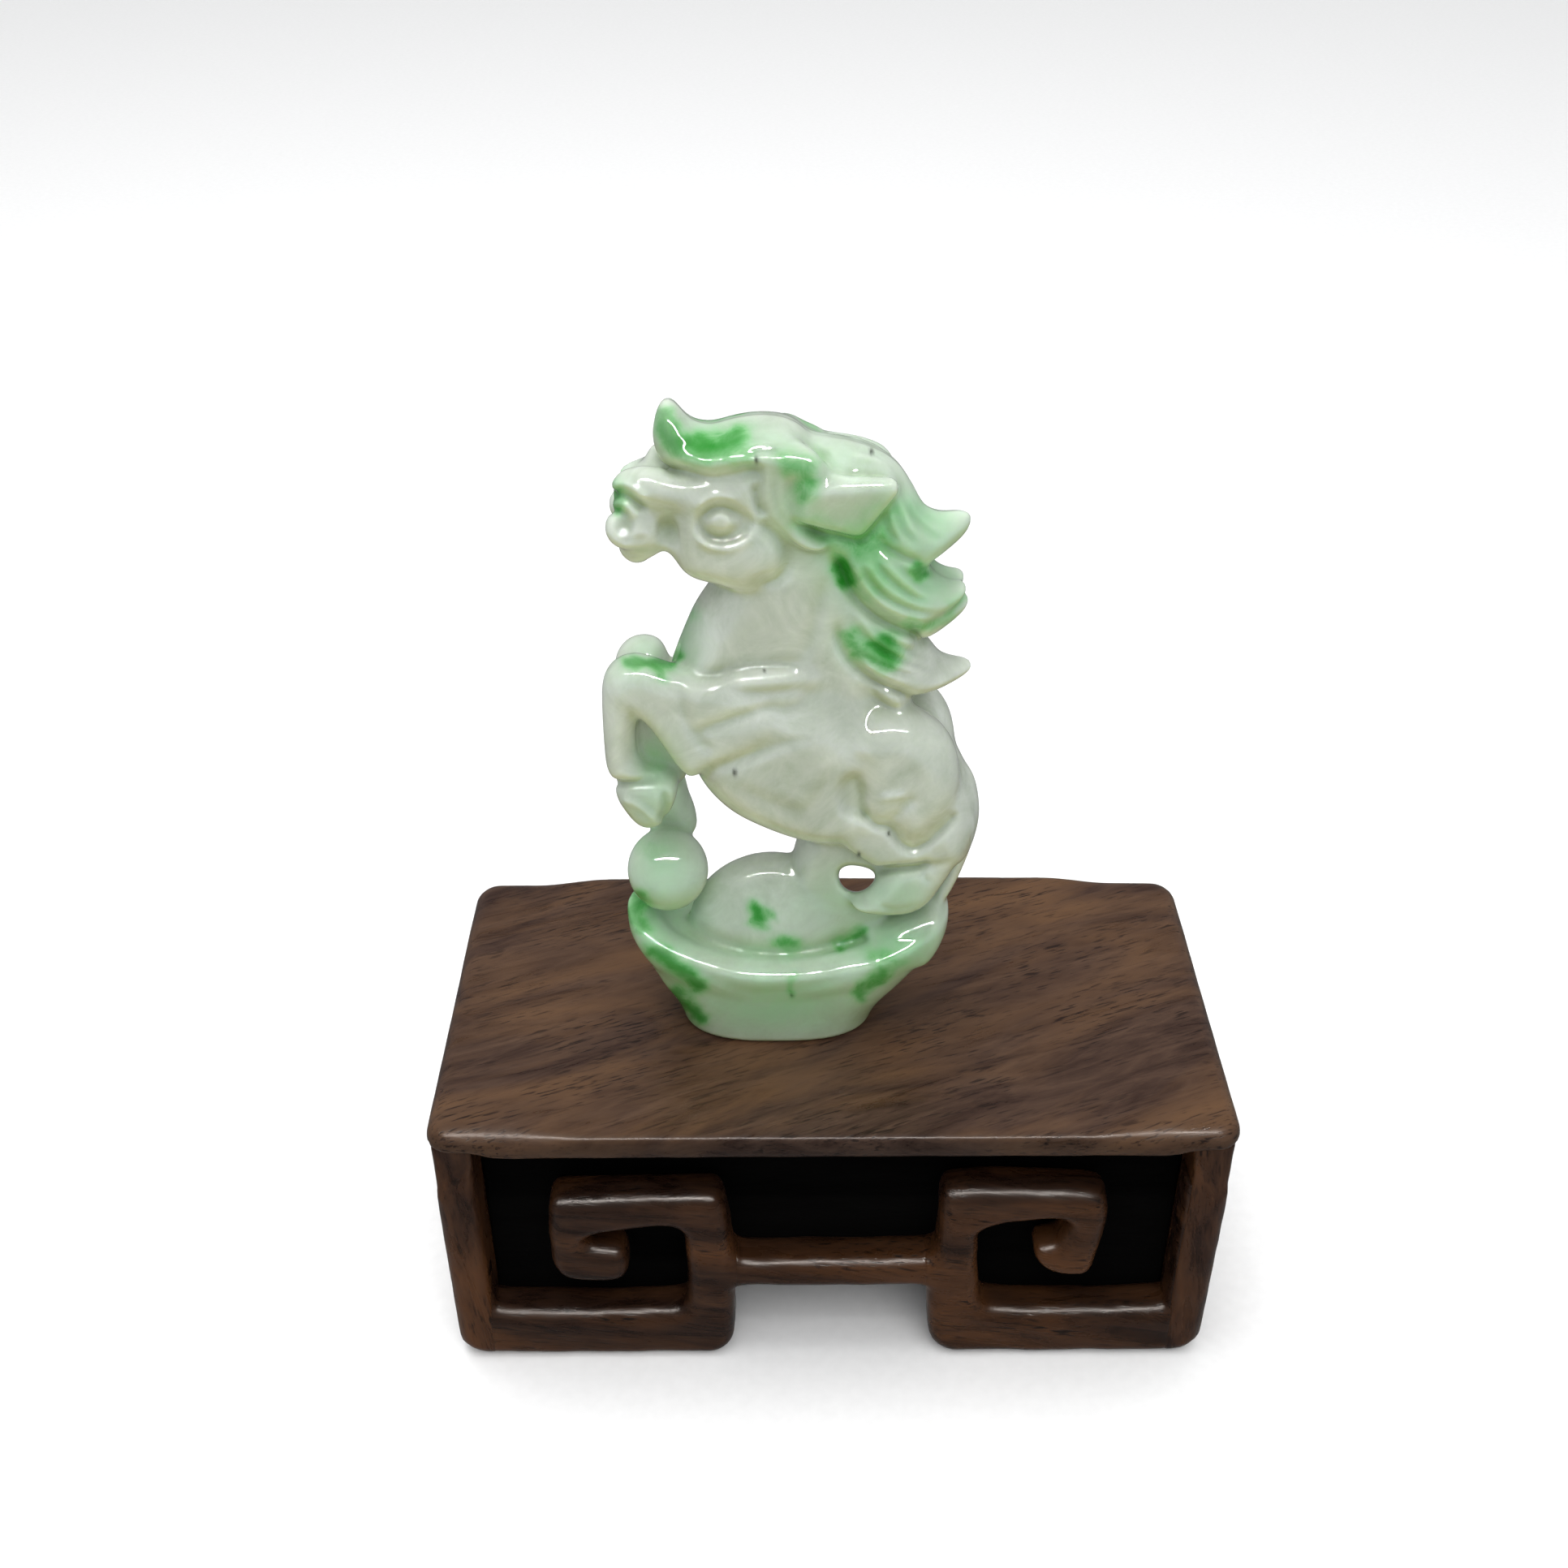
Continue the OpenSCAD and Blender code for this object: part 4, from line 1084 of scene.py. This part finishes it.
# How far the ground panels stay back from the arch, sideways and upwards.
PANEL_BACK = 1.4
PANEL_UP = 1.2
# Room left round a piece in its block, and the blocks' grid steps.
MARGIN = 1.2
WOOD_STEP = 0.4
FRONT_PARTS = ("left_fret", "right_fret", "stretcher")
SLAB_STEP = 0.5


def wobble(x, y, z, amount):
    """Small waves left by the carver's knife."""
    w = np.sin(0.31 * x + 0.7 * z + 1.3) * np.sin(0.23 * y - 0.41 * z)
    w = w + 0.7 * np.sin(0.57 * x - 0.3 * y + 0.2)
    w = w + 0.5 * np.sin(1.1 * z + 0.4 * x) * np.sin(0.8 * x + 0.9 * y + 2)
    return amount * w


def rounded(a, b, r):
    """Distance to what lies within both a and b, with the edge between them rounded to r."""
    edge = np.sqrt(np.maximum(a + r, 0) ** 2 + np.maximum(b + r, 0) ** 2)
    return edge + np.minimum(np.maximum(a, b) + r, 0) - r


class Wood(Clay):
    """The stand is carved in the same way as the stone; each piece is its own block."""

    def frame_front(self, turned):
        """The carved front, or turned half round, the back. Members are rounded on their outer side."""
        x = -self.x if turned else self.x
        y = -self.y if turned else self.y
        z = self.z + 0 * self.x
        flat = np.maximum(to_outline(x, z, smooth_outline(STAND_EDGE)),
                          -to_outline(x, z, smooth_outline(WINDOW)))
        face = np.abs(y - FRET_MID) - FRET_HALF
        # the frame swells a little where it meets the top board
        return rounded(flat, face, ROUNDING) - SWELL * smooth_step(33, 39, z)

    def rounded_box(self, low, high, r, corner=None):
        """Box with edges rounded to r; its upright corners to a larger radius if given."""
        corner = r if corner is None else corner
        lo, hi = np.array(low, float), np.array(high, float)
        c, h = (lo + hi) / 2, (hi - lo) / 2
        plan = rounded(np.abs(self.x - c[0]) - h[0], np.abs(self.y - c[1]) - h[1], corner)
        return rounded(plan, np.abs(self.z - c[2]) - h[2], r)


def box_mm(node):
    """Low and high corners of a CAD node in millimetres."""
    return [[v / MM for v in corner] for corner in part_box(node)]


def block_for(node, step):
    low, high = box_mm(node)
    return Wood([v - MARGIN for v in low], [v + MARGIN for v in high], step)


def slice_to(block, node, axis, tuck=0.0):
    """Keeps the part of a block between the ends of its CAD node along an axis.

    With a tuck the piece runs on that far past its ends, just under its neighbours' surface.
    """
    low, high = box_mm(node)
    v = (block.x, block.y, block.z)[axis]
    past = np.maximum(low[axis] - v, v - high[axis])
    if tuck:
        block.d = block.d + (0.07 * smooth_step(-0.1, 0.1, past)).astype(np.float32)
    block.d = np.maximum(block.d, past - tuck)


def wood_piece(node, block, material):
    mesh, _ = block.mesh(node + "_carved")
    mesh.materials.append(material)
    piece = add_object(node + "_carved", mesh)
    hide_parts(node)
    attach(piece, "stand")


FRET_BOX = box_mm("front_left_fret")
FRET_MID = (FRET_BOX[0][1] + FRET_BOX[1][1]) / 2
FRET_HALF = (FRET_BOX[1][1] - FRET_BOX[0][1]) / 2
ARCH_HALF = -FRET_BOX[1][0]
ARCH_TOP = box_mm("front_stretcher")[0][2]


def carve_stand():
    top = wood_material("rosewood_top", ROSEWOOD, (0, 0, 22), 0.30)
    rail = wood_material("rosewood_rail", REDWOOD, (0, 8, 0), 0.27, face_shade=(0.68, 0.62))
    upright = wood_material("rosewood_upright", REDWOOD, (0, 84, 0), 0.27, face_shade=(0.85, 0.8))
    # the ground panels' near-lightless black is partly painted shade of the recess
    black_and_shade = wood_material("black_ground_and_shade", BLACK_AND_SHADE, sheen_rough=0.8, pores=0.4, specular=0.04)
    # top board
    block = block_for("top_board", SLAB_STEP)
    low, high = box_mm("top_board")
    band = smin(block.frame_front(False), block.frame_front(True), 0.5)
    slab = block.rounded_box((low[0], low[1], low[2] - PAST_END), high, SLAB_EDGE, SLAB_CORNER)
    slab = np.maximum(slab, low[2] + SLAB_LIFT - block.z)
    block.d = smin(slab, band, 2.5) + wobble(block.x, block.y, block.z, SLAB_KNIFE) + SLAB_SHRINK
    slice_to(block, "top_board", 2)
    wood_piece("top_board", block, top)
    # frets and stretchers, cut from the same outline
    for node in [f"{face}_{part}" for face in ("front", "back") for part in FRONT_PARTS]:
        block = block_for(node, WOOD_STEP)
        members = block.frame_front(node.startswith("back"))
        block.d = (members + wobble(block.x, block.y, block.z, KNIFE)).astype(np.float32)
        if "stretcher" in node:
            block.d = np.maximum(block.d, np.abs(block.x) - ARCH_HALF)
        else:
            slice_to(block, node, 0, TUCK)
        wood_piece(node, block, rail)
    # side boards, whose front and back edges belong to the frame
    for node in ("left_side_board", "right_side_board"):
        block = block_for(node, WOOD_STEP)
        low, high = box_mm(node)
        near = (low[0], low[1] + BOARD_BACK, low[2])
        far = (high[0], high[1] - BOARD_BACK, high[2] + PAST_END)
        board = block.rounded_box(near, far, BOARD_EDGE)
        corner = np.abs(block.x) - (max(abs(low[0]), abs(high[0])) - FOOT_RADIUS)
        below = FOOT_RADIUS - block.z
        foot = np.sqrt(np.maximum(corner, 0) ** 2 + np.maximum(below, 0) ** 2) - FOOT_RADIUS
        board = np.maximum(board, np.where((corner > 0) & (below > 0), foot, -FAR))
        d = smin(smin(block.frame_front(False), block.frame_front(True), 0.5), board, 0.8)
        block.d = (d + wobble(block.x, block.y, block.z, KNIFE)).astype(np.float32)
        block.d = np.maximum(block.d, block.z - high[2] - 0.1)
        slice_to(block, node, 0)
        wood_piece(node, block, upright)
    # ground panels, drawn back a little from the feet and the arch
    for node in ("front_ground_panel", "back_ground_panel"):
        block = block_for(node, SLAB_STEP)
        low, high = box_mm(node)
        panel = block.rounded_box(low, high, 0.1)
        arch = np.maximum(np.abs(block.x) - ARCH_HALF - PANEL_BACK, block.z - ARCH_TOP - PANEL_UP)
        block.d = np.maximum(panel, -arch)
        wood_piece(node, block, black_and_shade)
    for name in ("top_dowels", "fret_dowels"):
        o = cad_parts[name]
        o.data.materials.clear()
        o.data.materials.append(rail)


# ---------------------------------------------------------------- setting

FLOOR_HALF = 3.0
WALL_R = 2.8
WALL_TOP = 2.2
WALL_SIDES = 48
WORLD_LIGHT = 0.36
# Large soft boxes that light but make no highlight: name, place, aim, size in metres, power in watts.
SOFT_BOXES = [
    ("ceiling", (0, 0, 2.4), (0, 0, 0), 5.0, 72.0),
    ("key", (-0.12, 0.05, 0.70), (0, 0, 0.06), 0.40, 2.3),
    ("fill", (0.1, -0.40, 0.50), (0, 0, 0.06), 0.4, 1.2),
]
# A strip of small round lamps that make only highlights: their reflections are rows of bright dots.
LAMPS = 15
LAMP_PITCH = 0.042
LAMP_SIZE = 0.020
LAMP_POWER = 0.42
STRIP_MIDDLE = (-0.03, -0.24, 0.50)
STRIP_AIM = (0, 0, 0.08)


def make_floor():
    m = Shader("floor")
    tone = m.ramp(m.noise(m.place, 600, 3, 0.5), "Fac", [(0.3, (0.90,) * 3), (0.7, (0.93,) * 3)])
    m.surface({"Base Color": tone.outputs["Color"], "Roughness": 0.7})
    mesh = bpy.data.meshes.new("floor")
    r = FLOOR_HALF
    mesh.from_pydata([(-r, -r, 0), (r, -r, 0), (r, r, 0), (-r, r, 0)], [], [(0, 1, 2, 3)])
    mesh.materials.append(m.material)
    floor = add_object("floor", mesh)
    # the wood mirrors the dim half of the studio, not the white floor
    floor.visible_glossy = False


def make_wall():
    """A white wall round the floor, seen but giving no light."""
    m = Shader("wall")
    m.surface({"Base Color": (0, 0, 0, 1), "Emission Color": (0.95, 0.96, 0.97, 1),
               "Emission Strength": 1.0})
    mesh = bpy.data.meshes.new("wall")
    n = WALL_SIDES
    ring = [(math.cos(2 * math.pi * i / n), math.sin(2 * math.pi * i / n)) for i in range(n)]
    points = [(WALL_R * x, WALL_R * y, z) for z in (-0.02, WALL_TOP) for x, y in ring]
    mesh.from_pydata(points, [], [(i, (i + 1) % n, n + (i + 1) % n, n + i) for i in range(n)])
    mesh.materials.append(m.material)
    wall = add_object("wall", mesh)
    wall.visible_diffuse = wall.visible_glossy = wall.visible_shadow = wall.visible_transmission = False


def make_world():
    """Even light from above, dimmer below the horizon."""
    world = bpy.data.worlds.new("studio")
    bpy.context.scene.world = world
    world.use_nodes = True
    tree = world.node_tree
    back = tree.nodes["Background"]
    place = tree.nodes.new("ShaderNodeTexCoord")
    height = tree.nodes.new("ShaderNodeSeparateXYZ")
    sky = tree.nodes.new("ShaderNodeValToRGB")
    low, high = sky.color_ramp.elements
    low.position, low.color = 0.0, (0.6, 0.6, 0.6, 1)
    high.position, high.color = 0.08, (0.98, 0.99, 1.0, 1)
    tree.links.new(place.outputs["Generated"], height.inputs["Vector"])
    tree.links.new(height.outputs["Z"], sky.inputs["Fac"])
    tree.links.new(sky.outputs["Color"], back.inputs["Color"])
    back.inputs["Strength"].default_value = WORLD_LIGHT
    bpy.context.scene.view_settings.view_transform = "Standard"


def add_lamp(name, at, aim, size, power, shape, shines):
    """An area lamp that either makes highlights (shines) or lights surfaces, not both."""
    data = bpy.data.lights.new(name, "AREA")
    data.energy = power
    data.shape = shape
    data.size = size
    lamp = add_object(name, data)
    lamp.location = at
    lamp.rotation_euler = (Vector(aim) - Vector(at)).to_track_quat("-Z", "Y").to_euler()
    lamp.visible_glossy = shines
    lamp.visible_diffuse = not shines


def make_lamps():
    for box in SOFT_BOXES:
        add_lamp(*box, "SQUARE", False)
    for i in range(LAMPS):
        at = (STRIP_MIDDLE[0] + LAMP_PITCH * (i - (LAMPS - 1) / 2), *STRIP_MIDDLE[1:])
        add_lamp(f"strip_{i}", at, STRIP_AIM, LAMP_SIZE, LAMP_POWER, "DISK", True)


# ---------------------------------------------------------------- build

make_camera()
make_floor()
make_wall()
make_world()
make_lamps()
carve_stand()
horse = carve_jade()
horse.data.materials.append(jade_material())
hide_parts("jade_horse")
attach(horse, "figurine")
